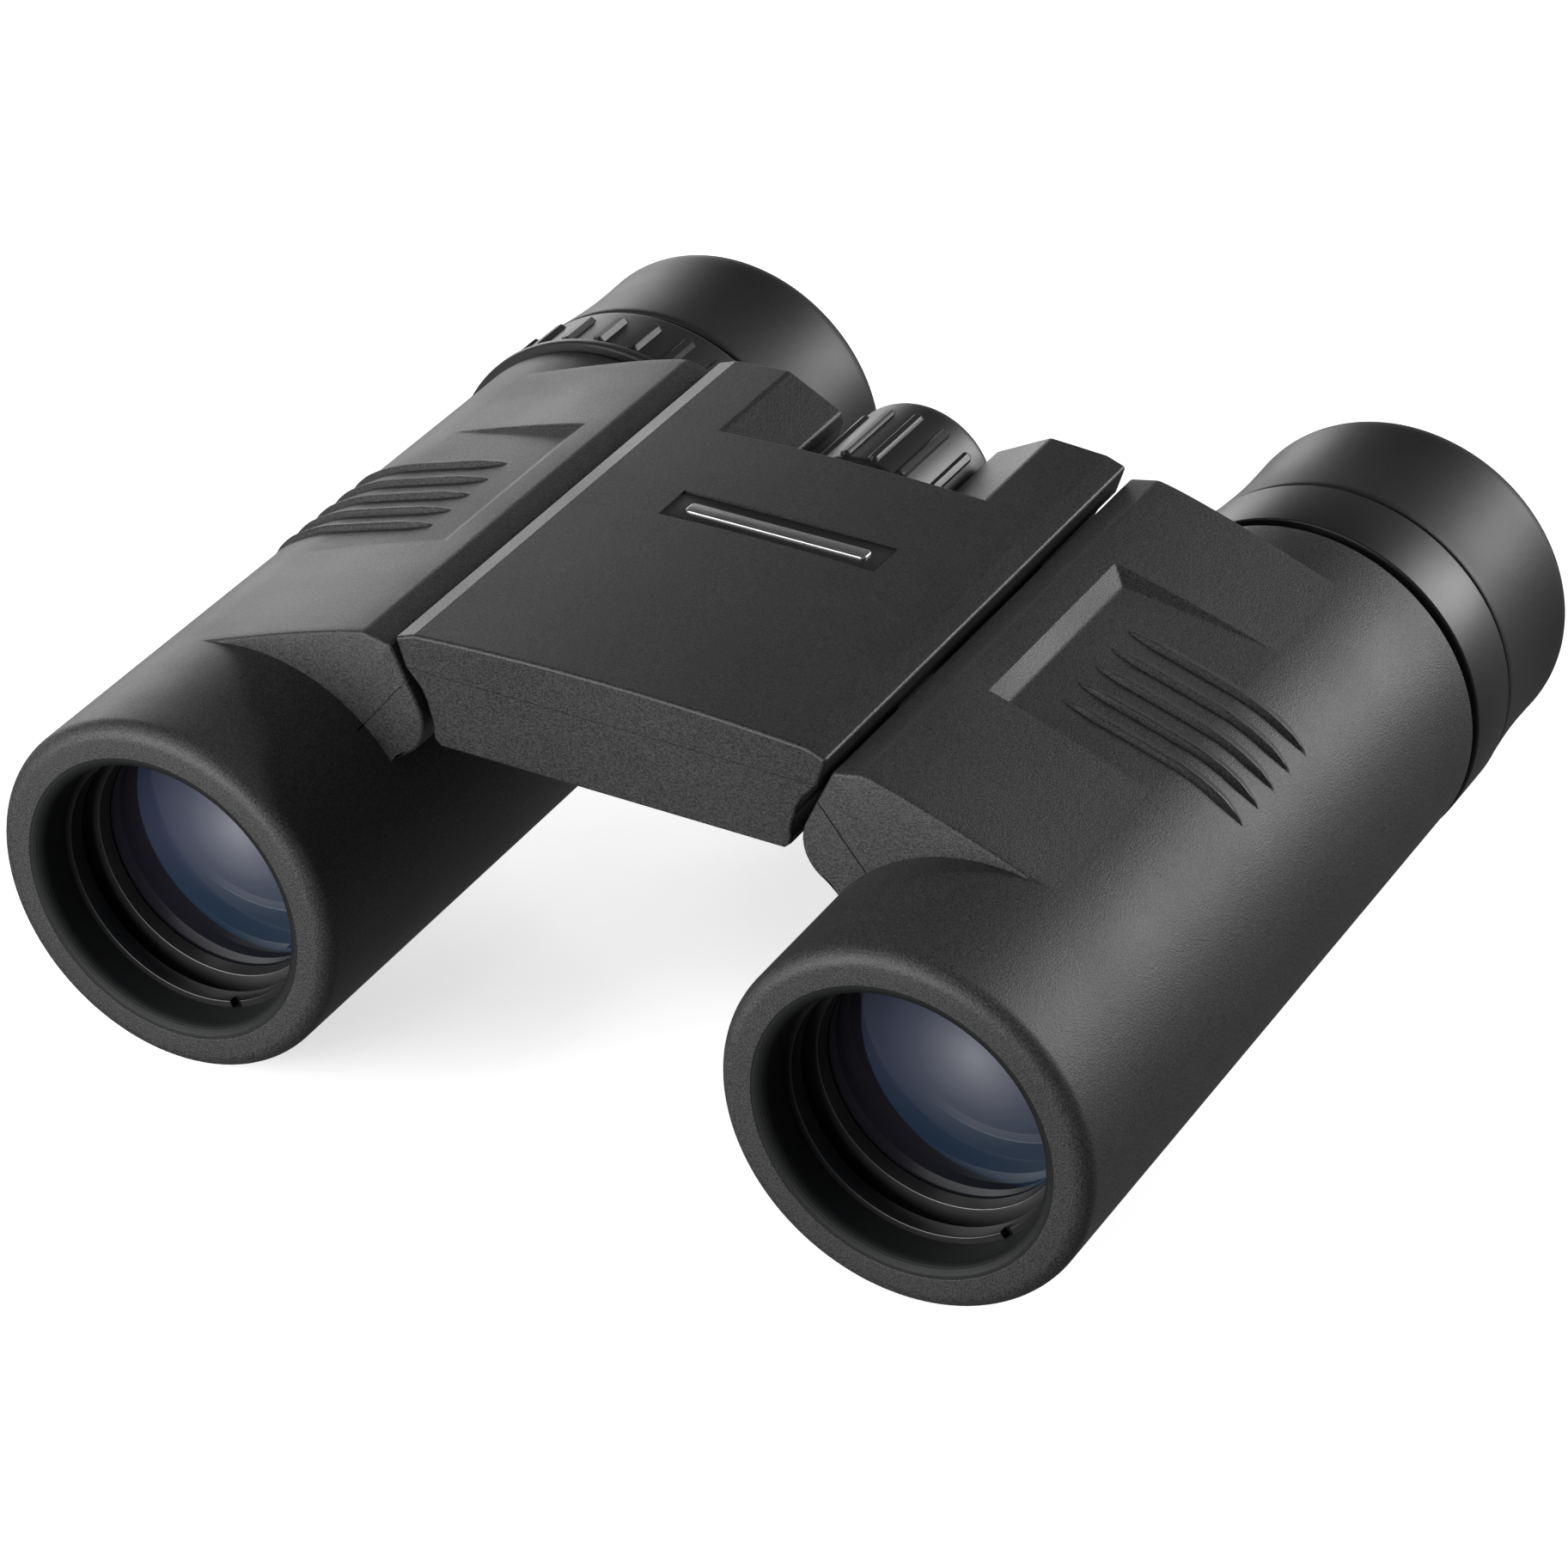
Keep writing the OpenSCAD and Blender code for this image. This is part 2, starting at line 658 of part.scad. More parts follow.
module diopter_ring() {
  body_r = 17.5;
  color("#1c1c1d") on_side(right) difference() {
    union() {
      rod(barrel_x, 0, flange_r, 78.2, 79.4);
      rod(barrel_x, 0, body_r, 78.2, collar_end);
      for (i = [0 : diopter_ribs - 1]) translate([barrel_x, 0, 0])
        rotate([0, 360 / diopter_ribs * i, 0])
          translate([-0.55, 79.4, body_r - 0.5]) cube([1.1, 5.8, 1.25]);
    }
    rod(barrel_x, 0, ocular_r + running, 77, collar_end + cut);
    // groove of the drive pin
    tube(barrel_x, 0, 16.5, 10, drive_pin_y - pin_slot, drive_pin_y + pin_slot);
  }
}

// Places the three keys that carry the eyecup.
module at_keys() {
  for (a = [30, 150, 270]) translate([barrel_x, 0, 0]) rotate([0, a, 0]) children();
}

// Guide ring that turns on the ocular housing.
module eyecup_guide(side) {
  color("#2b2b2d") on_side(side) difference() {
    union() {
      rod(barrel_x, 0, guide_r, 88.2, 98);
      at_keys() translate([-1, 89, guide_r - 0.4]) cube([2, 8.5, 0.85]);
    }
    rod(barrel_x, 0, neck_r + running, 88, 99);
  }
}

module eyecup_sleeve(side) {
  color("#232324") on_side(side) difference() {
    rod(barrel_x, 0, sleeve_r, 88.3, 101);
    rod(barrel_x, 0, guide_r + running, 88, 101 + cut);
    at_keys() translate([-1.1, 80, guide_r - 0.4]) cube([2.2, 19.5, 0.98]);
  }
}

// Soft rubber cup with a rounded rear rim.
module eyecup(side) {
  lip = 2.6;
  inner_lip = 0.8;
  waist = 0.25;
  taper = 0.4;
  rear_r = eyecup_r - taper;
  steps = 6;
  color("#1e1e1f") on_side(side) turned(barrel_x, 0) polygon(concat(
    [[sleeve_r, eyecup_y], [eyecup_r - 0.3, eyecup_y]],
    [for (i = [0 : steps]) let (u = i / steps)
      [eyecup_r - taper * u - waist * sin(180 * u), mix(eyecup_y + 0.3, total_length - lip, u)]],
    [for (a = [15 : 15 : 90]) [rear_r - lip + lip * cos(a), total_length - lip + lip * sin(a)]],
    [for (a = [0 : 30 : 90])
      [eyecup_bore_r + 1.4 - inner_lip * sin(a), total_length - inner_lip + inner_lip * cos(a)]],
    [[eyecup_bore_r, 101], [sleeve_r, 101]]
  ));
}

bridge_base();
bridge_cover();
name_plate();
bridge_screws();
hinge_pins();
hinge_washers();
guide_rods();
focus_bush();
focus_screw();
screw_clip();
focus_hub();
focus_grip();
focus_cap();
focus_carriage();
focus_nut();
push_rods();
barrel_tube(left, left_armour_end);  // left_tube
barrel_armour(left, left_armour_end);  // left_armour
objective_ring(left);  // left_objective_ring
objective_cell(left);  // left_objective_cell
objective_lens(left);  // left_objective_lens
lens_ring(left);  // left_lens_ring
prism_cage(left);  // left_prism_cage
roof_prism(left);  // left_roof_prism
penta_prism(left);  // left_penta_prism
ocular_housing(left, left_armour_end);  // left_ocular_housing
ocular_cell(left);  // left_ocular_cell
ocular_lenses(left);  // left_ocular_lenses
collar();  // left_collar
eyecup_guide(left);  // left_eyecup_guide
eyecup_sleeve(left);  // left_eyecup_sleeve
eyecup(left);  // left_eyecup
barrel_tube(right, right_armour_end);  // right_tube
barrel_armour(right, right_armour_end);  // right_armour
objective_ring(right);  // right_objective_ring
objective_cell(right);  // right_objective_cell
objective_lens(right);  // right_objective_lens
lens_ring(right);  // right_lens_ring
prism_cage(right);  // right_prism_cage
roof_prism(right);  // right_roof_prism
penta_prism(right);  // right_penta_prism
ocular_housing(right, right_armour_end);  // right_ocular_housing
ocular_cell(right);  // right_ocular_cell
ocular_lenses(right);  // right_ocular_lenses
diopter_ring();  // right_diopter_ring
eyecup_guide(right);  // right_eyecup_guide
eyecup_sleeve(right);  // right_eyecup_sleeve
eyecup(right);  // right_eyecup
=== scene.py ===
"""Compact folding binoculars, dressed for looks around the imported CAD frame."""

import json
import math

import bmesh
import bpy
import numpy as np
from mathutils import Matrix, Vector

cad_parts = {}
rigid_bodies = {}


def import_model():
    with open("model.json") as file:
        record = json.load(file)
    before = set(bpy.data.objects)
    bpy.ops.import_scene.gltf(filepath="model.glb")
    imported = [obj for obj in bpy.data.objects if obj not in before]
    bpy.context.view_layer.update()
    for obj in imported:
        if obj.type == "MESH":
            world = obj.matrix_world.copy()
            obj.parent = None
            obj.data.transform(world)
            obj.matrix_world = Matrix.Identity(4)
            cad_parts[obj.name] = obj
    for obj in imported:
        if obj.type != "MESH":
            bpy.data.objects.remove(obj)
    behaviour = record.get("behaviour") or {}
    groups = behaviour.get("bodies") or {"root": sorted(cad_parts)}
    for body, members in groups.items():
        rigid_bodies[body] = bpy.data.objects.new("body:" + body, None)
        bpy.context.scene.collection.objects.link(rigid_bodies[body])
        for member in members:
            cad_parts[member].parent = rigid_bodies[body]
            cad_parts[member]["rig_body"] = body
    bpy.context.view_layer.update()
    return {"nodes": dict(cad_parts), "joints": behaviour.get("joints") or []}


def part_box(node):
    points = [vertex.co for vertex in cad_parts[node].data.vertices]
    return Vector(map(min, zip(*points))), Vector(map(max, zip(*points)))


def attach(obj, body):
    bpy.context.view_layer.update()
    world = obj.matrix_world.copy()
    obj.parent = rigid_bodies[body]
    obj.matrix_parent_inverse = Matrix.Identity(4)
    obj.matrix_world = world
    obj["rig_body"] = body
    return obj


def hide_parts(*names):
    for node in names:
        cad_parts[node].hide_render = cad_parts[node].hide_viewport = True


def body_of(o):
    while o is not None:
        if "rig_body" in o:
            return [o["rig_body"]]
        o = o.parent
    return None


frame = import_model()
NODES = frame["nodes"]
MM = 0.001
TURN = 2 * math.pi

# Measures are in millimetres, in the CAD's drawing frame: y = 0 at the objective rims and
# z = 0 on the barrel axes. ORIGIN is that frame's origin in the row frame, in metres.
collar_low, collar_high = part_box("left_collar")
ORIGIN = Vector((0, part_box("left_armour")[0].y, (collar_low.z + collar_high.z) / 2))


def drawn(node):
    """A CAD node's lowest and highest corner in the drawing frame, in mm."""
    return [np.array((corner - ORIGIN) / MM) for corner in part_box(node)]


def joint_place(name):
    """A joint's position in the drawing frame, in mm."""
    j = next(j for j in frame["joints"] if j["name"] == name)
    return np.array((Vector(j["pos_m"]) - ORIGIN) / MM)


COLLAR = drawn("left_collar")
ARMOUR = drawn("left_armour")
BARREL_X = (COLLAR[0][0] + COLLAR[1][0]) / 2
BARREL_R = -ARMOUR[0][2]
LEFT_END = ARMOUR[1][1]
RIGHT_END = drawn("right_armour")[1][1]
BORE_R = 16.22
HINGE = joint_place("left_hinge")[[0, 2]]
WHEEL_Z = joint_place("focus_spin")[2]
LUG = (drawn("bridge_base")[0][1], drawn("bridge_base")[1][1])


# ---------------------------------------------------------------- mesh helpers

def solid(name, verts, faces):
    """An object with a closed mesh from points in mm, doubled points joined and faces turned outward."""
    mesh = bpy.data.meshes.new(name)
    mesh.from_pydata((np.asarray(verts, float) * MM + np.array(ORIGIN)).tolist(), [], faces)
    piece = bpy.data.objects.new(name, mesh)
    bpy.context.scene.collection.objects.link(piece)
    bm = bmesh.new()
    bm.from_mesh(mesh)
    bmesh.ops.remove_doubles(bm, verts=bm.verts, dist=1e-6)
    bmesh.ops.dissolve_degenerate(bm, edges=bm.edges, dist=1e-7)
    bmesh.ops.recalc_face_normals(bm, faces=bm.faces)
    bm.to_mesh(mesh)
    bm.free()
    return piece


def place(piece, material, body, replaces):
    """Gives a piece its material and its body, and hides the CAD nodes that it stands for."""
    piece.data.materials.clear()
    piece.data.materials.append(material)
    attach(piece, body)
    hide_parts(*replaces)


def finish_piece(piece, material, body, replaces, sharp=32):
    """Shades a piece smooth up to edges of the sharp angle, in degrees, and places it."""
    piece.data.polygons.foreach_set("use_smooth", [True] * len(piece.data.polygons))
    piece.data.set_sharp_from_angle(angle=math.radians(sharp))
    place(piece, material, body, replaces)


def skin(rings, wrap):
    """Points and faces over equal rings. With wrap the last ring joins the first, else ends are capped."""
    rings = np.asarray(rings, float)
    m, n = rings.shape[:2]
    faces = []
    for i in range(m if wrap else m - 1):
        a, b = i * n, (i + 1) % m * n
        for k in range(n):
            q = (k + 1) % n
            faces.append((a + k, a + q, b + q, b + k))
    if not wrap:
        faces.append(tuple(range(n)))
        faces.append(tuple(range((m - 1) * n, m * n)))
    return rings.reshape(-1, 3), faces


def fillet(points, radii, closed=False, turn=0.2):
    """A polyline with its corners rounded to the given radii."""
    points = [np.array(p, float) for p in points]
    n = len(points)
    out = []
    for i, p in enumerate(points):
        r = radii[i] if isinstance(radii, (list, tuple)) else radii
        if r <= 0 or (not closed and i in (0, n - 1)):
            out.append(p)
            continue
        a, b = points[i - 1] - p, points[(i + 1) % n] - p
        la, lb = np.hypot(*a), np.hypot(*b)
        a, b = a / la, b / lb
        angle = math.acos(max(-1, min(1, a @ b)))
        if math.pi - angle < 1e-3:
            out.append(p)
            continue
        t = min(r / math.tan(angle / 2), 0.49 * la, 0.49 * lb)
        r = t * math.tan(angle / 2)
        middle = p + (a + b) / np.hypot(*(a + b)) * r / math.sin(angle / 2)
        start, end = p + a * t - middle, p + b * t - middle
        sweep = math.atan2(start[0] * end[1] - start[1] * end[0], start @ end)
        steps = max(2, int(abs(sweep) / turn) + 1)
        for k in range(steps + 1):
            c, s = math.cos(sweep * k / steps), math.sin(sweep * k / steps)
            out.append(middle + np.array((c * start[0] - s * start[1], s * start[0] + c * start[1])))
    return np.array(out)


def lathe(profile, x, z, segments=256):
    """Points and faces of a closed [radius, y] profile turned about the Y axis through x, z."""
    profile = np.asarray(profile, float)
    t = np.arange(segments) * TURN / segments
    rings = np.empty((len(profile), segments, 3))
    rings[..., 0] = x + profile[:, :1] * np.cos(t)
    rings[..., 1] = profile[:, 1:]
    rings[..., 2] = z + profile[:, :1] * np.sin(t)
    return skin(rings, True)


def block(outline, y0, y1):
    """Points and faces of an X-Z outline between y0 and y1."""
    outline = np.asarray(outline, float)
    rings = [np.stack([outline[:, 0], np.full(len(outline), y), outline[:, 1]], 1) for y in (y0, y1)]
    return skin(rings, False)


def carve(piece, cutters):
    """Cuts the cutters' solids out of the piece, for good, and removes them."""
    for c in cutters:
        m = piece.modifiers.new("cut", "BOOLEAN")
        m.operation = "DIFFERENCE"
        m.solver = "EXACT"
        m.object = c
    bpy.context.view_layer.update()
    evaluated = piece.evaluated_get(bpy.context.evaluated_depsgraph_get())
    piece.data = bpy.data.meshes.new_from_object(evaluated)
    piece.modifiers.clear()
    for c in cutters:
        bpy.data.objects.remove(c)


# ---------------------------------------------------------------- materials

def ramp_node(nodes, stops):
    """A colour ramp with the given (place, colour) stops."""
    n = nodes.new("ShaderNodeValToRGB")
    while len(n.color_ramp.elements) < len(stops):
        n.color_ramp.elements.new(0.5)
    for e, (at, colour) in zip(n.color_ramp.elements, stops):
        e.position = at
        e.color = (*colour, 1)
    return n


def grey(v):
    return (v, v, v)


def new_material(name):
    """A material with nodes, its node list, its links and its Principled shader."""
    m = bpy.data.materials.new(name)
    m.use_nodes = True
    return m, m.node_tree.nodes, m.node_tree.links, m.node_tree.nodes["Principled BSDF"]


def surface(name, base, roughness, grain=0.2, depth=0.02, speckle=0.25, drift=0.15, metallic=0.0,
            coat=0.0, wear=0.0, specular=0.5):
    """A moulded or machined surface: grain mm wide and depth mm deep, with speckled colour,
    a slow drift of tone and roughness, and small lighter scuffs."""
    m, nodes, links, bsdf = new_material(name)
    bsdf.inputs["Metallic"].default_value = metallic
    bsdf.inputs["Coat Weight"].default_value = coat
    bsdf.inputs["Coat Roughness"].default_value = 0.2
    bsdf.inputs["Specular IOR Level"].default_value = specular
    where = nodes.new("ShaderNodeTexCoord")
    fine = nodes.new("ShaderNodeTexNoise")
    fine.inputs["Scale"].default_value = 1 / (grain * MM)
    fine.inputs["Detail"].default_value = 2.0
    fine.inputs["Roughness"].default_value = 0.6
    slow = nodes.new("ShaderNodeTexNoise")
    slow.inputs["Scale"].default_value = 1 / (14 * MM)
    slow.inputs["Detail"].default_value = 3.0
    links.new(where.outputs["Object"], fine.inputs["Vector"])
    links.new(where.outputs["Object"], slow.inputs["Vector"])

    def spread(source, low, high, start=0.3, end=0.7):
        n = nodes.new("ShaderNodeMapRange")
        n.inputs["From Min"].default_value, n.inputs["From Max"].default_value = start, end
        n.inputs["To Min"].default_value, n.inputs["To Max"].default_value = low, high
        links.new(source, n.inputs["Value"])
        return n.outputs["Result"]

    def times(a, b):
        n = nodes.new("ShaderNodeMath")
        n.operation = "MULTIPLY"
        links.new(a, n.inputs[0])
        links.new(b, n.inputs[1])
        return n.outputs[0]

    tone = times(spread(fine.outputs["Fac"], 1 - speckle, 1 + speckle),
                 spread(slow.outputs["Fac"], 1 - drift, 1 + drift))
    if wear:
        scuff = nodes.new("ShaderNodeTexNoise")
        scuff.inputs["Scale"].default_value = 1 / (2.5 * MM)
        scuff.inputs["Detail"].default_value = 6.0
        links.new(where.outputs["Object"], scuff.inputs["Vector"])
        tone = times(tone, spread(scuff.outputs["Fac"], 1, 1 + wear, 0.6, 0.75))
    colour = nodes.new("ShaderNodeVectorMath")
    colour.operation = "SCALE"
    colour.inputs[0].default_value = base
    links.new(tone, colour.inputs["Scale"])
    links.new(colour.outputs["Vector"], bsdf.inputs["Base Color"])
    links.new(spread(slow.outputs["Fac"], roughness - 0.04, roughness + 0.04), bsdf.inputs["Roughness"])
    if depth:
        bump = nodes.new("ShaderNodeBump")
        bump.inputs["Strength"].default_value = 1.0
        bump.inputs["Distance"].default_value = depth * MM
        links.new(fine.outputs["Fac"], bump.inputs["Height"])
        links.new(bump.outputs["Normal"], bsdf.inputs["Normal"])
    return m


def lens_with_painted_light(name, span):
    """A lens, span mm across, glossy, with light and shade painted into its colour: a painted view of its lit
    depth, teal below and blue above, a painted reflection as a pale patch, painted reflections of rings as
    faint arcs, and painted shade as a dark crescent at one edge."""
    m, nodes, links, bsdf = new_material(name)
    bsdf.inputs["Specular IOR Level"].default_value = 0.6
    where = nodes.new("ShaderNodeTexCoord")
    flat = nodes.new("ShaderNodeVectorMath")
    flat.operation = "MULTIPLY_ADD"
    links.new(where.outputs["Generated"], flat.inputs[0])
    flat.inputs[1].default_value = (span, 0, span)
    flat.inputs[2].default_value = (-span / 2, 0, -span / 2)
    split = nodes.new("ShaderNodeSeparateXYZ")
    links.new(flat.outputs["Vector"], split.inputs["Vector"])

    def ramp(source, start, end, stops):
        """Colours along a value that runs from start to end, in mm."""
        reach = nodes.new("ShaderNodeMapRange")
        reach.inputs["From Min"].default_value, reach.inputs["From Max"].default_value = start, end
        links.new(source, reach.inputs["Value"])
        n = ramp_node(nodes, stops)
        n.color_ramp.interpolation = "EASE" if len(stops) == 2 else "LINEAR"
        links.new(reach.outputs["Result"], n.inputs["Fac"])
        return n.outputs["Color"]

    def away(x, z):
        """Distance in mm from a point of the lens's face."""
        n = nodes.new("ShaderNodeVectorMath")
        n.operation = "DISTANCE"
        links.new(flat.outputs["Vector"], n.inputs[0])
        n.inputs[1].default_value = (x, 0, z)
        return n.outputs["Value"]

    def mix(blend, factor, a, b):
        n = nodes.new("ShaderNodeMix")
        n.data_type = "RGBA"
        n.blend_type = blend
        if isinstance(factor, float):
            n.inputs["Factor"].default_value = factor
        else:
            links.new(factor, n.inputs["Factor"])
        links.new(a, n.inputs["A"])
        links.new(b, n.inputs["B"])
        return n.outputs["Result"]

    # Painted depth: the coat colours, teal below and blue above, stand for the lit inside of the barrel seen
    # through the glass.
    coat = ramp(split.outputs["Z"], -12, 12, [(0.08, (0.006, 0.016, 0.032)), (0.3, (0.014, 0.024, 0.042)),
                                              (0.5, (0.026, 0.032, 0.056)), (0.9, (0.024, 0.03, 0.058))])
    # Painted reflection: a pale tone blended in by patch, strongest near one point of the face and gone by 9
    # mm from it.
    pale = ramp(split.outputs["X"], -12, 12, [(0.0, (0.14, 0.145, 0.175)), (1.0, (0.165, 0.168, 0.195))])
    patch = ramp(away(2.4, 3.2), 0.5, 9.0, [(0.0, grey(1.0)), (0.3, grey(0.5)), (0.6, grey(0.17)),
                                            (1.0, grey(0.0))])
    colour = mix("MIX", patch, coat, pale)
    # Painted reflections of rings in the cell: thin light arcs 10.7 to 11.9 mm from an offset point, faded in
    # towards +X by shown and added to the colour.
    rings = ramp(away(4.4, 7.3), 10.7, 11.9, [(0.0, grey(0.0)), (0.1, grey(0.2)), (0.2, grey(0.55)),
                                             (0.3, grey(0.2)), (0.42, grey(0.6)), (0.5, grey(0.2)),
                                             (0.62, grey(0.5)), (0.7, grey(0.2)), (0.8, grey(1.0)),
                                             (0.9, grey(0.0))])
    shown = ramp(split.outputs["X"], -2.5, 3, [(0.0, grey(0.0)), (1.0, grey(0.055))])
    colour = mix("ADD", 1.0, colour, mix("MULTIPLY", 1.0, rings, shown))
    # Painted shade: beyond 12.45 to 12.65 mm from an offset point the colour turns to the near-black rim
    # tone, a dark crescent on one side where the depth behind the glass falls dark.
    edge = ramp(away(4.1, 3.6), 12.45, 12.65, [(0.0, grey(0.0)), (1.0, grey(1.0))])
    rim = ramp(split.outputs["X"], -12, 12, [(0.0, (0.008, 0.0075, 0.011)), (1.0, (0.007, 0.0085, 0.0105))])
    links.new(mix("MIX", edge, colour, rim), bsdf.inputs["Base Color"])
    haze = nodes.new("ShaderNodeTexNoise")
    haze.inputs["Scale"].default_value = 1 / (6 * MM)
    links.new(where.outputs["Object"], haze.inputs["Vector"])
    rough = nodes.new("ShaderNodeMapRange")
    rough.inputs["To Min"].default_value, rough.inputs["To Max"].default_value = 0.02, 0.05
    links.new(haze.outputs["Fac"], rough.inputs["Value"])
    links.new(rough.outputs["Result"], bsdf.inputs["Roughness"])
    return m


def prism(name, base):
    """Prism glass, mostly clear."""
    m = surface(name, base, 0.08, grain=0.5, depth=0, speckle=0.02, drift=0.05)
    m.node_tree.nodes["Principled BSDF"].inputs["Transmission Weight"].default_value = 0.85
    return m


ARMOUR_RUBBER = surface("armour_rubber", (0.027, 0.0265, 0.027), 0.52, grain=0.17, depth=0.045,
                        speckle=0.85, drift=0.06, wear=0.12, specular=0.38)
BRIDGE_PAINT = surface("bridge_paint", (0.024, 0.024, 0.0242), 0.45, grain=0.17, depth=0.035,
                       speckle=0.8, drift=0.06, wear=0.2, specular=0.3)
HOUSING_PLASTIC = surface("housing_plastic", (0.02, 0.02, 0.021), 0.45, grain=0.15, depth=0.008)
CUP_RUBBER = surface("cup_rubber", (0.014, 0.014, 0.0145), 0.48, grain=0.16, depth=0.012,
                     speckle=0.3, drift=0.08, specular=0.27)
COLLAR_PAINT = surface("collar_paint", (0.013, 0.013, 0.0135), 0.42, grain=0.16, depth=0.008,
                       speckle=0.15, drift=0.06, specular=0.35)
GRIP_RUBBER = surface("grip_rubber", (0.015, 0.015, 0.0155), 0.45, grain=0.18, depth=0.012,
                      speckle=0.25, drift=0.08, specular=0.4)
BLACK_METAL = surface("black_metal", (0.008, 0.008, 0.0085), 0.3, grain=0.3, depth=0.004,
                      speckle=0.15, coat=0.15)
RING_METAL = surface("ring_metal", (0.014, 0.014, 0.0142), 0.34, grain=0.2, depth=0.004,
                     speckle=0.15, specular=0.7)
STOP_METAL = surface("stop_metal", (0.007, 0.007, 0.0072), 0.3, grain=0.2, depth=0.004,
                     speckle=0.15, specular=0.45)
BORE_BLACK = surface("bore_black", (0.006, 0.0065, 0.0068), 0.6, grain=0.2, depth=0.01,
                     speckle=0.2, specular=0.25)
STEEL = surface("steel", (0.45, 0.45, 0.46), 0.25, grain=0.1, depth=0.002, metallic=1.0, speckle=0.1)
BRASS = surface("brass", (0.55, 0.4, 0.18), 0.3, grain=0.1, depth=0.002, metallic=1.0, speckle=0.1)
WASHER = surface("washer", (0.6, 0.57, 0.48), 0.5, grain=0.2, depth=0.003)
PLATE = surface("plate", (0.5, 0.5, 0.51), 0.32, grain=0.2, depth=0.006, metallic=1.0,
                speckle=0.15)
PLATE_DARK = surface("plate_dark", (0.012, 0.012, 0.0122), 0.4, grain=0.15, depth=0.008)
LENS_R = 12.48
LENS_GLASS = lens_with_painted_light("lens_glass", 2 * LENS_R)
PRISM_GLASS = prism("prism_glass", (0.75, 0.86, 0.9))

SLOT_MATERIALS = {
    "armour": ARMOUR_RUBBER, "bridge": BRIDGE_PAINT, "housing": HOUSING_PLASTIC,
    "eyecup": CUP_RUBBER, "collar": COLLAR_PAINT, "grip": GRIP_RUBBER,
    "black_metal": BLACK_METAL, "steel": STEEL, "brass": BRASS, "washer": WASHER,
    "plate": PLATE, "coated_glass": LENS_GLASS, "prism_glass": PRISM_GLASS,
}


# ---------------------------------------------------------------- the armoured barrels

LUG_R = 4.2
LUG_UPPER, LUG_LOWER = 157, 235
GAP_CORNER, CREST, BEND = np.array((21.93, 22.03)), np.array((24.8, 22.64)), np.array((29.6, 21.68))
FOOT = np.array((22.54, 9.87))
WING_END_ANGLE = 69.5


def on_circle(centre, r, degrees):
    """The point at an angle on a circle."""
    a = math.radians(degrees)
    return np.array(centre) + r * np.array((math.cos(a), math.sin(a)))


def evenly(a, b, step):
    """Points from a to b, about step apart, without b."""
    n = max(1, int(np.hypot(*(np.array(b) - a)) / step))
    return [a + (np.array(b) - a) * k / n for k in range(n)]


def lug_part():
    """The wing and lug's outline from the barrel's crown round the hinge to the lug's foot."""
    end = on_circle((BARREL_X, 0), BARREL_R, WING_END_ANGLE)
    top = []
    for t in np.linspace(0, 1, 90):
        a, b = end + (BEND - end) * t, BEND + (CREST - BEND) * t
        top.append(a + (b - a) * t)
    arc_start = on_circle(HINGE, LUG_R, LUG_UPPER)
    corner = fillet([top[-12], CREST, GAP_CORNER, arc_start], [0, 1.6, 0.5, 0], turn=0.06)[1:-1]
    chamfer = []
    for a, b in zip(corner[:-1], corner[1:]):
        chamfer += evenly(a, b, 0.3)
    arc = [on_circle(HINGE, LUG_R, a) for a in np.linspace(LUG_UPPER, LUG_LOWER, 16)]
    return np.array([*top[:-11], *chamfer, corner[-1], *evenly(corner[-1], arc_start, 0.3)[1:], *arc,
                     *evenly(arc[-1], FOOT, 0.8)[1:], FOOT])


def full_outline():
    """The closed outline of a barrel with its wing, by rising angle about the barrel's axis."""
    lug = lug_part()
    barrel = [on_circle((BARREL_X, 0), BARREL_R, a)
              for a in [*np.linspace(146, 360, 96), *np.linspace(361.5, 404, 20),
                        *np.linspace(405.2, 429.2, 20)]]
    return np.array([*lug, *barrel])


def normals_of(points):
    """Outward unit normals of a closed outline."""
    d = np.roll(points, -1, 0) - np.roll(points, 1, 0)
    n = np.stack([d[:, 1], -d[:, 0]], 1)
    return n / np.maximum(np.hypot(n[:, 0], n[:, 1]), 1e-9)[:, None]


FULL = full_outline()
AXIS = np.array((BARREL_X, 0))
POLAR = np.arctan2(*(FULL - AXIS).T[::-1])
ROUND_DIR = np.stack([np.cos(POLAR), np.sin(POLAR)], 1)
OUTWARD = normals_of(FULL)
RADIUS = np.hypot(*(FULL - AXIS).T)
ON_BARREL = RADIUS < BARREL_R + 0.02
ANGLE = np.degrees(POLAR) % 360


def circle_ring(r):
    """A circle with a point at the angle of each point of the full outline."""
    return AXIS + ROUND_DIR * r


def lug_ring(inset):
    """The full outline drawn in, but never inside the barrel."""
    p = FULL - OUTWARD * inset
    r = np.hypot(*(p - AXIS).T)
    p[ON_BARREL | (r < BARREL_R)] = circle_ring(BARREL_R)[ON_BARREL | (r < BARREL_R)]
    return p


def smooth(x):
    """An eased step from 0 at 0 to 1 at 1."""
    x = np.clip(x, 0, 1)
    return x * x * (3 - 2 * x)


PAD_X = (27.4, 29.1)
PAD_FADE = 43.0
PAD_Y = (34.0, 58.5)
PAD_DEPTH = 0.85
RIB_MIDDLES = (38.85, 41.95, 45.15, 48.4, 51.75)
RIB_ANGLES = (44.3, 102.8)
RIB_HEIGHT = 0.52
SEAM_HALF, SEAM_DEPTH = 0.06, 0.12
HINGE_GAP_Y = (24, 62)
ARM_SLOT_Y = (36.4, 43.6)
LUG_EDGE = 0.38
RIM_OPEN_R, RIM_T = 14.22, 1.5


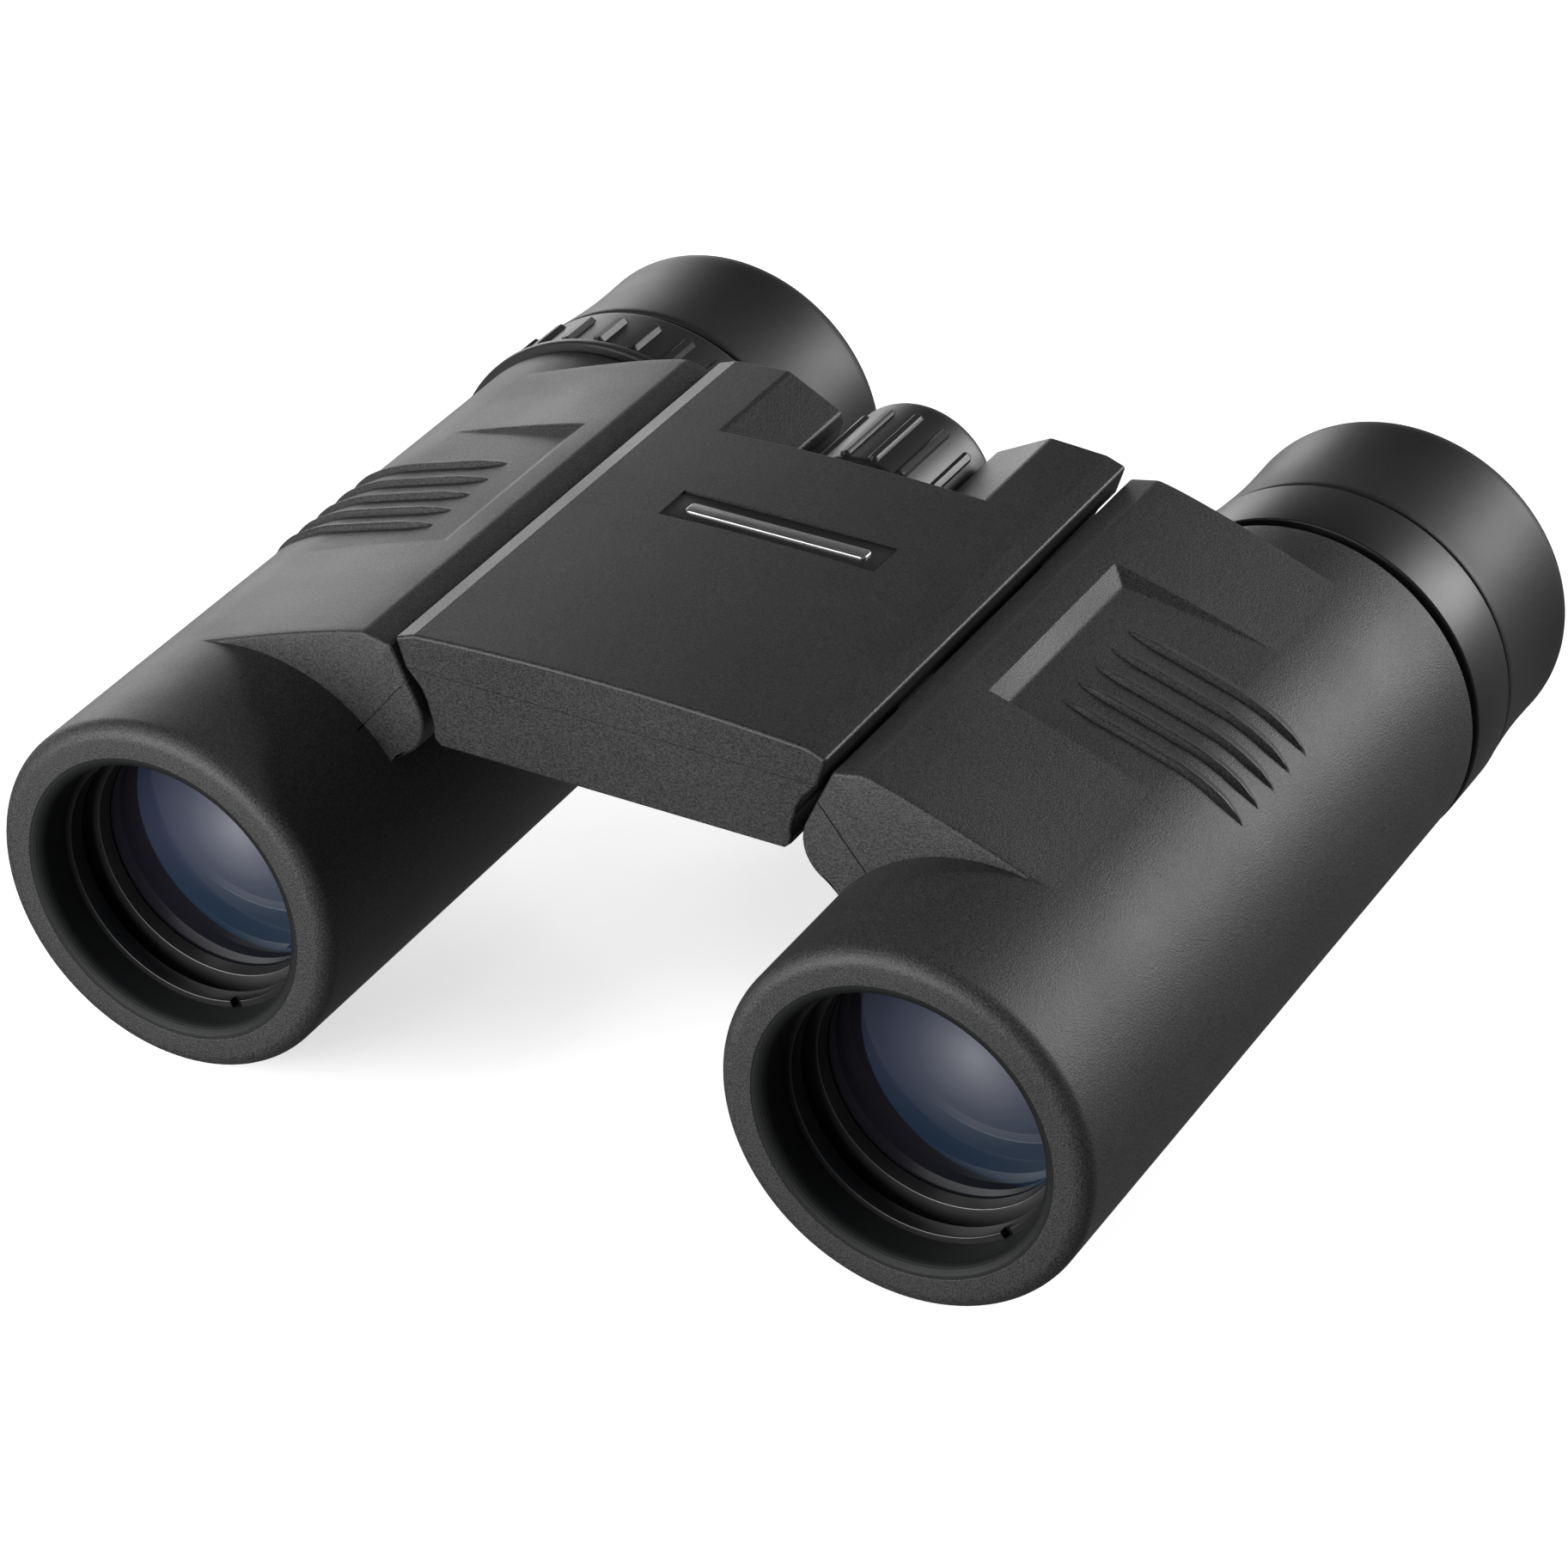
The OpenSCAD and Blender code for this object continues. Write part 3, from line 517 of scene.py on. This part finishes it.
def relief(y):
    """Height of the thumb rest and the grip ribs over the outline's points at y."""
    x = FULL[:, 0]
    bevel = (x - PAD_X[0]) * PAD_DEPTH / (PAD_X[1] - PAD_X[0])
    floor = PAD_DEPTH * (PAD_FADE - x) / (PAD_FADE - PAD_X[1])
    rear = (PAD_Y[1] + 0.08 * (x - PAD_X[0]) - y) * 0.55
    front = (y - PAD_Y[0]) * 6
    depth = np.minimum(np.minimum(bevel, floor), np.minimum(rear, front))
    height = -np.where((ANGLE > 60) & (ANGLE < 125), np.clip(depth, 0, None), 0)
    along = np.minimum((ANGLE - RIB_ANGLES[0]) / 9, (RIB_ANGLES[1] - ANGLE) / 8)
    width = np.sqrt(np.clip(along, 0, 1))
    for middle in RIB_MIDDLES:
        t = (y - middle) / np.maximum(width, 0.02)
        rise = smooth((t + 0.7) / 0.5) * (1 - smooth((t + 0.16) / 1.25))
        height = height + np.where(width > 0, RIB_HEIGHT * width * rise, 0)
    return height


def stations():
    """Places along Y, close together where there is relief."""
    spans = [(33.9, 34.4, 0.08), (37.8, 53.2, 0.12), (56.6, 60.0, 0.16)]
    ys = [LUG[0] + LUG_EDGE, LUG[1] - LUG_EDGE]
    for a, b, step in spans:
        ys += list(np.arange(a, b, step))
    coarse = np.arange(LUG[0] + 1, LUG[1] - 0.6, 0.9)
    ys += [y for y in coarse if all(not a - 0.3 < y < b + 0.3 for a, b, _ in spans)]
    return sorted(ys)


def armour_rings():
    """Rings of the armour's skin, from its inner front edge over the outside to its bore."""
    def ring(points, y):
        return np.stack([points[:, 0], np.full(len(points), y), points[:, 1]], 1)

    rings = []
    rim = fillet([(RIM_OPEN_R, RIM_T), (RIM_OPEN_R, 0), (BARREL_R, 0), (BARREL_R, 4)],
                 [0, 0.06, 1.6, 0], turn=0.12)
    for r, y in rim[:-1]:
        rings.append(ring(circle_ring(r), y))
    for y in np.arange(3, LUG[0] - 0.5, 1.6):
        rings.append(ring(circle_ring(BARREL_R), y))
    rings.append(ring(circle_ring(BARREL_R), LUG[0]))
    turns = np.radians(np.linspace(0, 90, 5))
    for a in turns[:-1]:
        rings.append(ring(lug_ring(LUG_EDGE * (1 - math.sin(a))), LUG[0] + LUG_EDGE * (1 - math.cos(a))))
    for y in stations():
        p = lug_ring(0)
        rings.append(ring(p + OUTWARD * relief(y)[:, None], y))
    for a in turns[::-1][1:]:
        rings.append(ring(lug_ring(LUG_EDGE * (1 - math.sin(a))), LUG[1] - LUG_EDGE * (1 - math.cos(a))))
    rings.append(ring(circle_ring(BARREL_R), LUG[1]))
    for y in (LUG[1] + 1.2, LEFT_END - 3, LEFT_END - 1.5):
        rings.append(ring(circle_ring(BARREL_R), y))
    end = fillet([(BARREL_R, LEFT_END - 1), (BARREL_R, LEFT_END), (BORE_R, LEFT_END), (BORE_R, LEFT_END - 1)],
                 [0, 0.3, 0, 0], turn=0.3)
    for r, y in end[1:]:
        rings.append(ring(circle_ring(r), y))
    rings.append(ring(circle_ring(BORE_R), RIM_T))
    return np.array(rings)


def hinge_sweep():
    """Room that the bridge's knuckles take while the barrel folds."""
    near, reach = 3.85, 9.674
    points = [on_circle((0, 0), near, a) for a in np.linspace(-95.3, 112.8, 22)]
    points.append(np.array((-9.0, 3.55)))
    points += [on_circle((0, 0), reach, a) for a in np.linspace(158.5, 214.5, 9)]
    points.append(on_circle((0, 0), 9.19, 247.6))
    return np.array(points) + HINGE


def armour(name, side, body):
    """The rubber armour of one barrel, with its hinge gap, its arm's slot and its moulding seam."""
    piece = solid(name, *skin(armour_rings(), True))
    seam_start, seam_end = np.array((20.75, 18.49)), np.array((25.19, 12.99))
    d = (seam_end - seam_start) / np.hypot(*(seam_end - seam_start))
    n = np.array((-d[1], d[0])) * SEAM_HALF
    a, b = seam_start - d * 2, seam_end + d * 0.6
    arm = math.atan2(HINGE[1], HINGE[0] - BARREL_X)
    c, s = math.cos(arm), math.sin(arm)
    arm_slot = [AXIS + (c * u - s * v, s * u + c * v) for u, v in ((12, -2), (21, -2), (21, 2), (12, 2))]
    carve(piece, [
        solid("hinge_gap", *block(hinge_sweep(), *HINGE_GAP_Y)),
        solid("arm_slot", *block(arm_slot, *ARM_SLOT_Y)),
        solid("seam", *block([a + n, b + n, b - n, a - n], LUG[0] - 1, LUG[0] + SEAM_DEPTH)),
    ])
    if side < 0:
        mesh = piece.data
        co = np.empty(len(mesh.vertices) * 3)
        mesh.vertices.foreach_get("co", co)
        co = co.reshape(-1, 3)
        behind = co[:, 1] > ORIGIN.y + (LUG[1] + 1) * MM
        co[behind, 1] += (RIGHT_END - LEFT_END) * MM
        co[:, 0] *= -1
        mesh.vertices.foreach_set("co", co.ravel())
        mesh.flip_normals()
    finish_piece(piece, ARMOUR_RUBBER, body, [name.replace("_skin", "")], 22)


armour("left_armour_skin", 1, "left_barrel")
armour("right_armour_skin", -1, "right_barrel")


# ---------------------------------------------------------------- turned pieces

def turned(name, profile, side, material, body, node, notches=()):
    """A piece turned about a barrel's axis from [radius, y] points, with notches cut out of it."""
    piece = solid(name, *lathe(profile, BARREL_X * side, 0))
    if notches:
        carve(piece, notches)
    finish_piece(piece, material, body, [node])


def notch(side, degrees):
    """A cutter for a spanner notch in the stop ring."""
    a = math.radians(degrees)
    c, s = math.cos(a), math.sin(a)
    corners = [(11.5, -0.6), (13.22, -0.6), (13.22, 0.6), (11.5, 0.6)]
    outline = [(BARREL_X * side + c * u - s * v, s * u + c * v) for u, v in corners]
    return solid("notch", *block(outline, 3, 4.75))


def eyecup(word, side):
    """The rubber eyecup: a slightly waisted wall that rolls over into the rear face and the sight hole."""
    low, high = drawn("left_eyecup")
    y0, y1 = low[1], high[1]
    lip, hole_r, sleeve_r, sleeve_end = 2.6, 10.5, 16.12, 101
    front_r, rear_r, foot = 17.5, 17.1, 0.25
    wall = [(front_r - 0.4 * u - 0.25 * math.sin(math.pi * u), y0 + foot + (y1 - lip - y0 - foot) * u)
            for u in np.linspace(0, 1, 20)]
    roll = [(rear_r - lip + lip * math.cos(a), y1 - lip + lip * math.sin(a))
            for a in np.radians(np.linspace(8, 90, 12))]
    inside = fillet([(rear_r - lip - 0.4, y1), (hole_r, y1), (hole_r, sleeve_end), (sleeve_r, sleeve_end),
                     (sleeve_r, y0), (front_r - 0.1, y0), (front_r, y0 + foot)],
                    [0, 0.8, 0.3, 0, 0, 0.15, 0], turn=0.25)
    turned(f"{word}_eyecup_rubber", [*wall, *roll, *inside[:-1]], side, CUP_RUBBER, f"{word}_eyecup",
           f"{word}_eyecup")


def stop_ring(word, side, notch_angle):
    """The threaded ring in the objective's mouth, with two spanner notches."""
    profile = fillet([(14.98, 3.88), (12.46, 3.88), (12.46, 5.6), (14.98, 5.05)], [0, 0.1, 0.05, 0],
                     closed=True, turn=0.5)
    turned(f"{word}_stop_ring", profile, side, STOP_METAL, f"{word}_barrel",
           f"{word}_objective_ring", [notch(side, notch_angle + k) for k in (0, 180)])


def lens_seat(word, side):
    """The ring that holds the objective's glass."""
    profile = fillet([(14.7, 7.4), (11.85, 7.4), (11.66, 8.75), (11.9, 8.75), (12.3, 8.2), (14.7, 8.2)],
                     [0, 0.1, 0, 0, 0, 0], closed=True, turn=0.4)
    turned(f"{word}_lens_seat", profile, side, RING_METAL, f"{word}_objective",
           f"{word}_lens_ring")


def front_lens(word, side):
    """The objective's glass, nearly flat in front and dished behind."""
    low, high = drawn(f"{word}_objective_lens")
    front = [(LENS_R * u, low[1] + 0.75 + 0.12 * u * u) for u in np.linspace(0.002, 1, 40)]
    back = [(LENS_R * u, high[1] - 0.5 + 0.5 * u * u) for u in np.linspace(1, 0.002, 12)]
    turned(f"{word}_front_lens", [*front, *back], side, LENS_GLASS, f"{word}_objective",
           f"{word}_objective_lens")


for word, side, notch_angle in (("left", 1, -50.7), ("right", -1, 290)):
    eyecup(word, side)
    stop_ring(word, side, notch_angle)
    lens_seat(word, side)
    front_lens(word, side)

collar_front, collar_back = COLLAR[0][1], COLLAR[1][1]
collar = fillet([(15.85, collar_front), (17.6, collar_front), (17.6, collar_back), (15.85, collar_back)],
                [0, 0.22, 0.22, 0], closed=True, turn=0.3)
turned("left_collar_ring", collar, 1, COLLAR_PAINT, "left_barrel", "left_collar")


# ---------------------------------------------------------------- ribbed wheels

PER_RIB = 22


def ribbed(name, x, z, radius_at, ys, ribs, phase, rib_y, rib_half, rib_height, bore, body, node):
    """A rubber wheel turned about x, z, with round-ended ribs on it and a bore of [radius, y] points."""
    n = ribs * PER_RIB
    turns = np.arange(n) * TURN / n
    angles = math.radians(phase) + turns
    pitch = TURN / ribs
    offset = (turns + pitch / 2) % pitch - pitch / 2
    rings = []
    for y in ys:
        r = radius_at(y)
        along = max(rib_y[0] + rib_half - y, y - (rib_y[1] - rib_half), 0)
        d = np.hypot(offset * r, along)
        r = r + rib_height * (1 - smooth((d - rib_half * 0.55) / (rib_half * 0.45)))
        rings.append(np.stack([x + r * np.cos(angles), np.full(n, y), z + r * np.sin(angles)], 1))
    for r, y in bore:
        rings.append(np.stack([x + r * np.cos(angles), np.full(n, y), z + r * np.sin(angles)], 1))
    finish_piece(solid(name, *skin(rings, True)), GRIP_RUBBER, body, [node])


RING_FRONT, RING_BACK = (corner[1] for corner in drawn("right_diopter_ring"))
FLANGE_T = 1.2


def diopter_radius(y):
    """The diopter ring's radius: a rounded front flange, then the band under the ribs."""
    if y < RING_FRONT + FLANGE_T:
        u = (y - RING_FRONT) / FLANGE_T
        return 18.3 - 0.28 * (2 * u - 1) ** 4
    if y < RING_FRONT + FLANGE_T + 0.3:
        return 18.02 - 0.5 * smooth((y - RING_FRONT - FLANGE_T) / 0.3)
    return 17.52 - 0.12 * smooth((y - RING_BACK + 0.35) / 0.35)


ys = [*np.linspace(RING_FRONT, RING_FRONT + FLANGE_T, 12),
      *np.linspace(RING_FRONT + 1.25, RING_FRONT + 1.6, 5), *np.arange(RING_FRONT + 1.75, 86.0, 0.14), 86.5,
      *np.linspace(RING_BACK - 0.4, RING_BACK, 5)]
ribbed("right_diopter_grip", -BARREL_X, 0, diopter_radius, ys, 29, 97.92, (79.95, 85.55), 0.66, 0.5,
       [(15.85, RING_BACK), (15.85, RING_FRONT)], "diopter_ring", "right_diopter_ring")

WHEEL_BACK = drawn("focus_grip")[1][1]
WHEEL_FRONT = 61.1
WHEEL_R, WHEEL_BORE_R = 7.6, 5.3
BACK_EDGE, FRONT_EDGE = 1.3, 0.8


def wheel_radius(y):
    """The focus wheel's radius: eased in at the front, rounded at the back."""
    if y > WHEEL_BACK - BACK_EDGE:
        u = (y - WHEEL_BACK + BACK_EDGE) / BACK_EDGE
        return WHEEL_R - (1 - math.sqrt(max(0, 1 - u * u)))
    if y < WHEEL_FRONT + FRONT_EDGE:
        u = (WHEEL_FRONT + FRONT_EDGE - y) / FRONT_EDGE
        return WHEEL_R - 0.5 * u * u
    return WHEEL_R


ys = [*np.linspace(WHEEL_FRONT, WHEEL_FRONT + FRONT_EDGE, 6), *np.arange(62.0, 71.9, 0.16),
      *(WHEEL_BACK - BACK_EDGE + BACK_EDGE * np.sin(np.radians(np.linspace(0, 90, 12))))]
ribbed("focus_wheel_grip", 0, WHEEL_Z, wheel_radius, ys, 16, 83.4, (61.9, 71.5), 0.56, 0.34,
       [(WHEEL_BORE_R, WHEEL_BACK), (WHEEL_BORE_R, WHEEL_BACK - 0.5), (WHEEL_BORE_R, WHEEL_FRONT)],
       "focus_wheel", "focus_grip")


# ---------------------------------------------------------------- softened CAD shapes

def flat_normals(bm):
    """Corner normals, in order, that lean to the larger face and don't cross sharp edges."""
    groups = {}
    for v in bm.verts:
        free = set(v.link_faces)
        while free:
            todo, group = [free.pop()], []
            while todo:
                f = todo.pop()
                group.append(f)
                for e in f.edges:
                    if e.smooth and v in e.verts:
                        for g in e.link_faces:
                            if g in free:
                                free.discard(g)
                                todo.append(g)
            total = Vector()
            for f in group:
                total += f.normal * f.calc_area()
            total.normalize()
            for f in group:
                groups[v.index, f.index] = total
    return [groups[loop.vert.index, f.index] for f in bm.faces for loop in f.loops]


def soften(node, name, material, widths, pick, weld=None):
    """A copy of a CAD node with outer edges rounded: pick(edge middle, in mm) says which of the widths an
    edge takes, if any, and corners where weld(place) holds are joined across a step of under 0.2 mm."""
    piece = bpy.data.objects.new(name, NODES[node].data.copy())
    bpy.context.scene.collection.objects.link(piece)
    if "custom_normal" in piece.data.attributes:
        piece.data.attributes.remove(piece.data.attributes["custom_normal"])
    bm = bmesh.new()
    bm.from_mesh(piece.data)
    bmesh.ops.remove_doubles(bm, verts=bm.verts, dist=2e-6)
    bmesh.ops.dissolve_limit(bm, angle_limit=math.radians(0.3), verts=bm.verts, edges=bm.edges)
    if weld:
        step = [v for v in bm.verts if weld((v.co - ORIGIN) / MM)]
        for v in step:
            v.co.z = max(u.co.z for u in step if (u.co - v.co).length < 0.2 * MM)
        bmesh.ops.remove_doubles(bm, verts=step, dist=2e-6)
    bm.normal_update()
    rounded = set()
    for number, width in enumerate(widths):
        chosen = []
        for e in bm.edges:
            middle = ((e.verts[0].co + e.verts[1].co) / 2 - ORIGIN) / MM
            if e.is_convex and math.degrees(e.calc_face_angle(0)) > 25 and pick(middle) == number:
                chosen.append(e)
        made = bmesh.ops.bevel(bm, geom=chosen, offset=width * MM, offset_type="OFFSET", segments=4,
                               profile=0.5, affect="EDGES", clamp_overlap=False)
        bm.normal_update()
        rounded |= set(made["faces"])
    rounded = {f for f in rounded if f.is_valid}
    for f in bm.faces:
        f.smooth = True
    for e in bm.edges:
        limit = 30 if e.calc_length() > 0.2 * MM and any(f in rounded for f in e.link_faces) else 10
        e.smooth = len(e.link_faces) == 2 and math.degrees(e.calc_face_angle(0)) < limit
    bm.verts.index_update()
    bm.faces.index_update()
    normals = flat_normals(bm)
    bm.to_mesh(piece.data)
    bm.free()
    piece.data.normals_split_custom_set(normals)
    place(piece, material, body_of(NODES[node])[0], [node])


SPLIT_Z = 20.3
COVER_SIDE_X, NOTCH_EDGE_X = 21.4, 13.7


def at_end(p):
    """Whether a place is on the bridge's front or rear face."""
    return min(abs(p[1] - LUG[0]), abs(p[1] - LUG[1])) < 0.05


def cover_edge(p):
    """0 for the cover's ends, sides and notch, 1 for its lower edge, which shows as a fine line."""
    at_side = abs(abs(p[0]) - COVER_SIDE_X) < 0.1 and p[2] > 23
    in_notch = p[1] > 59.8 and p[2] > 20.9 and abs(p[0]) < 14
    if at_end(p) and p[2] > SPLIT_Z + 0.15 or at_side or in_notch:
        return 0
    if abs(p[2] - SPLIT_Z) < 0.06 and (at_end(p) and abs(p[0]) > 9 or p[1] < 17):
        return 1
    return None


def base_edge(p):
    """0 for the base's end edges, apart from those inside the notch."""
    if at_end(p) and p[2] < SPLIT_Z - 0.6 and (p[1] < 40 or abs(p[0]) > 9.5):
        return 0
    return None


def notch_corner(p):
    """The top of the cover's notch, where the CAD has a small step."""
    return abs(abs(p[0]) - NOTCH_EDGE_X) < 0.02 and p[2] > 23.9


soften("bridge_cover", "bridge_cover_shell", BRIDGE_PAINT, (0.32, 0.07), cover_edge, notch_corner)
soften("bridge_base", "bridge_base_shell", BRIDGE_PAINT, (0.3,), base_edge)


# ---------------------------------------------------------------- badge pocket

PLATE_LOW, PLATE_HIGH = drawn("name_plate")
PLATE_Y = (PLATE_LOW[1] + PLATE_HIGH[1]) / 2


def slab(name, half_x, half_y, z0, z1, top_round, material):
    """A rounded rectangle in the badge pocket, with its top edge rounded."""
    layers = [(0, z0)] + [(top_round * (1 - math.cos(a)), z1 - top_round * (1 - math.sin(a)))
                          for a in np.radians(np.linspace(0, 90, 5))]
    rings = []
    for inset, z in layers:
        a, b = half_x - inset, half_y - inset
        outline = fillet([(-a, -b), (a, -b), (a, b), (-a, b)], min(0.45, b * 0.9), closed=True, turn=0.25)
        rings.append(np.stack([outline[:, 0], PLATE_Y + outline[:, 1], np.full(len(outline), z)], 1))
    finish_piece(solid(name, *skin(rings, False)), material, "bridge", ["name_plate"], 50)


slab("name_plate_base", PLATE_HIGH[0], PLATE_Y - PLATE_LOW[1], PLATE_LOW[2], PLATE_HIGH[2], 0.06, PLATE_DARK)
slab("name_plate_bar", 9.2, 0.8, PLATE_HIGH[2] - 0.05, PLATE_HIGH[2] + 0.22, 0.12, PLATE)


# ---------------------------------------------------------------- materials of the CAD nodes

for node, piece in NODES.items():
    in_bore = node.endswith("_tube") or node.endswith("_objective_cell")
    for s in piece.material_slots:
        s.material = BORE_BLACK if in_bore else SLOT_MATERIALS[s.material.name]


# ---------------------------------------------------------------- stage, light and camera

bpy.ops.mesh.primitive_plane_add(size=8)
floor = bpy.context.object
floor.name = "floor"
floor_paint, _, _, floor_bsdf = new_material("floor_paint")
floor_bsdf.inputs["Base Color"].default_value = (*grey(0.9), 1)
floor_bsdf.inputs["Roughness"].default_value = 0.9
floor_bsdf.inputs["Emission Color"].default_value = (1, 1, 1, 1)
floor_bsdf.inputs["Emission Strength"].default_value = 0.62
floor.data.materials.append(floor_paint)
floor.visible_glossy = False
floor.visible_diffuse = False

CENTRE = Vector((0, 0, ORIGIN.z))


def softbox(name, size, power, direction, distance):
    """A rectangular soft light that faces the object from a direction."""
    light = bpy.data.lights.new(name, "AREA")
    light.shape = "RECTANGLE"
    light.size, light.size_y = size
    light.energy = power
    o = bpy.data.objects.new(name, light)
    bpy.context.scene.collection.objects.link(o)
    d = Vector(direction).normalized()
    o.location = CENTRE + d * distance
    o.rotation_mode = "QUATERNION"
    o.rotation_quaternion = (-d).to_track_quat("-Z", "Y")


softbox("rear_right", (0.24, 0.4), 7.5, (0.56, 0.73, 0.37), 0.9)
softbox("rear_left", (0.6, 0.3), 2.7, (-0.76, 0.64, 0.06), 0.9)
softbox("front", (0.35, 0.3), 2.9, (-0.4, -0.9, 0.16), 0.42)
softbox("top_front", (0.25, 0.25), 1.3, (-0.42, -0.51, 0.71), 0.9)

world = bpy.data.worlds.new("studio")
bpy.context.scene.world = world
world.use_nodes = True
sky_nodes, sky_links = world.node_tree.nodes, world.node_tree.links
sky_where = sky_nodes.new("ShaderNodeTexCoord")
sky_split = sky_nodes.new("ShaderNodeSeparateXYZ")
sky_links.new(sky_where.outputs["Generated"], sky_split.inputs["Vector"])
sky_range = sky_nodes.new("ShaderNodeMapRange")
sky_range.inputs["From Min"].default_value = -1
sky_links.new(sky_split.outputs["Z"], sky_range.inputs["Value"])
SKY = [(0.0, 0.2), (0.3, 0.22), (0.5, 0.55), (0.58, 0.45), (0.72, 0.12), (1.0, 0.08)]
sky = ramp_node(sky_nodes, [(at, grey(v)) for at, v in SKY])
sky_links.new(sky_range.outputs["Result"], sky.inputs["Fac"])
sky_links.new(sky.outputs["Color"], sky_nodes["Background"].inputs["Color"])
sky_nodes["Background"].inputs["Strength"].default_value = 0.8
bpy.context.scene.view_settings.view_transform = "Standard"

AZIMUTH, ELEVATION, ROLL = (math.radians(a) for a in (29.48, 32.54, -0.72))
TARGET = ORIGIN + Vector((6.99, 34.17, 6.2)) * MM
CAMERA_DISTANCE = 0.49541
back = Vector((math.sin(AZIMUTH) * math.cos(ELEVATION), -math.cos(AZIMUTH) * math.cos(ELEVATION),
               math.sin(ELEVATION)))
right = Vector((math.cos(AZIMUTH), math.sin(AZIMUTH), 0))
up = back.cross(right)
right, up = (math.cos(ROLL) * right + math.sin(ROLL) * up,
             math.cos(ROLL) * up - math.sin(ROLL) * right)
camera = bpy.data.objects.new("camera", bpy.data.cameras.new("camera"))
bpy.context.scene.collection.objects.link(camera)
camera.data.lens = 128
camera.data.sensor_width = 36
camera.data.clip_start, camera.data.clip_end = 0.01, 20
camera.matrix_world = (Matrix.Translation(TARGET + back * CAMERA_DISTANCE)
                       @ Matrix((right, up, back)).transposed().to_4x4())
bpy.context.scene.camera = camera
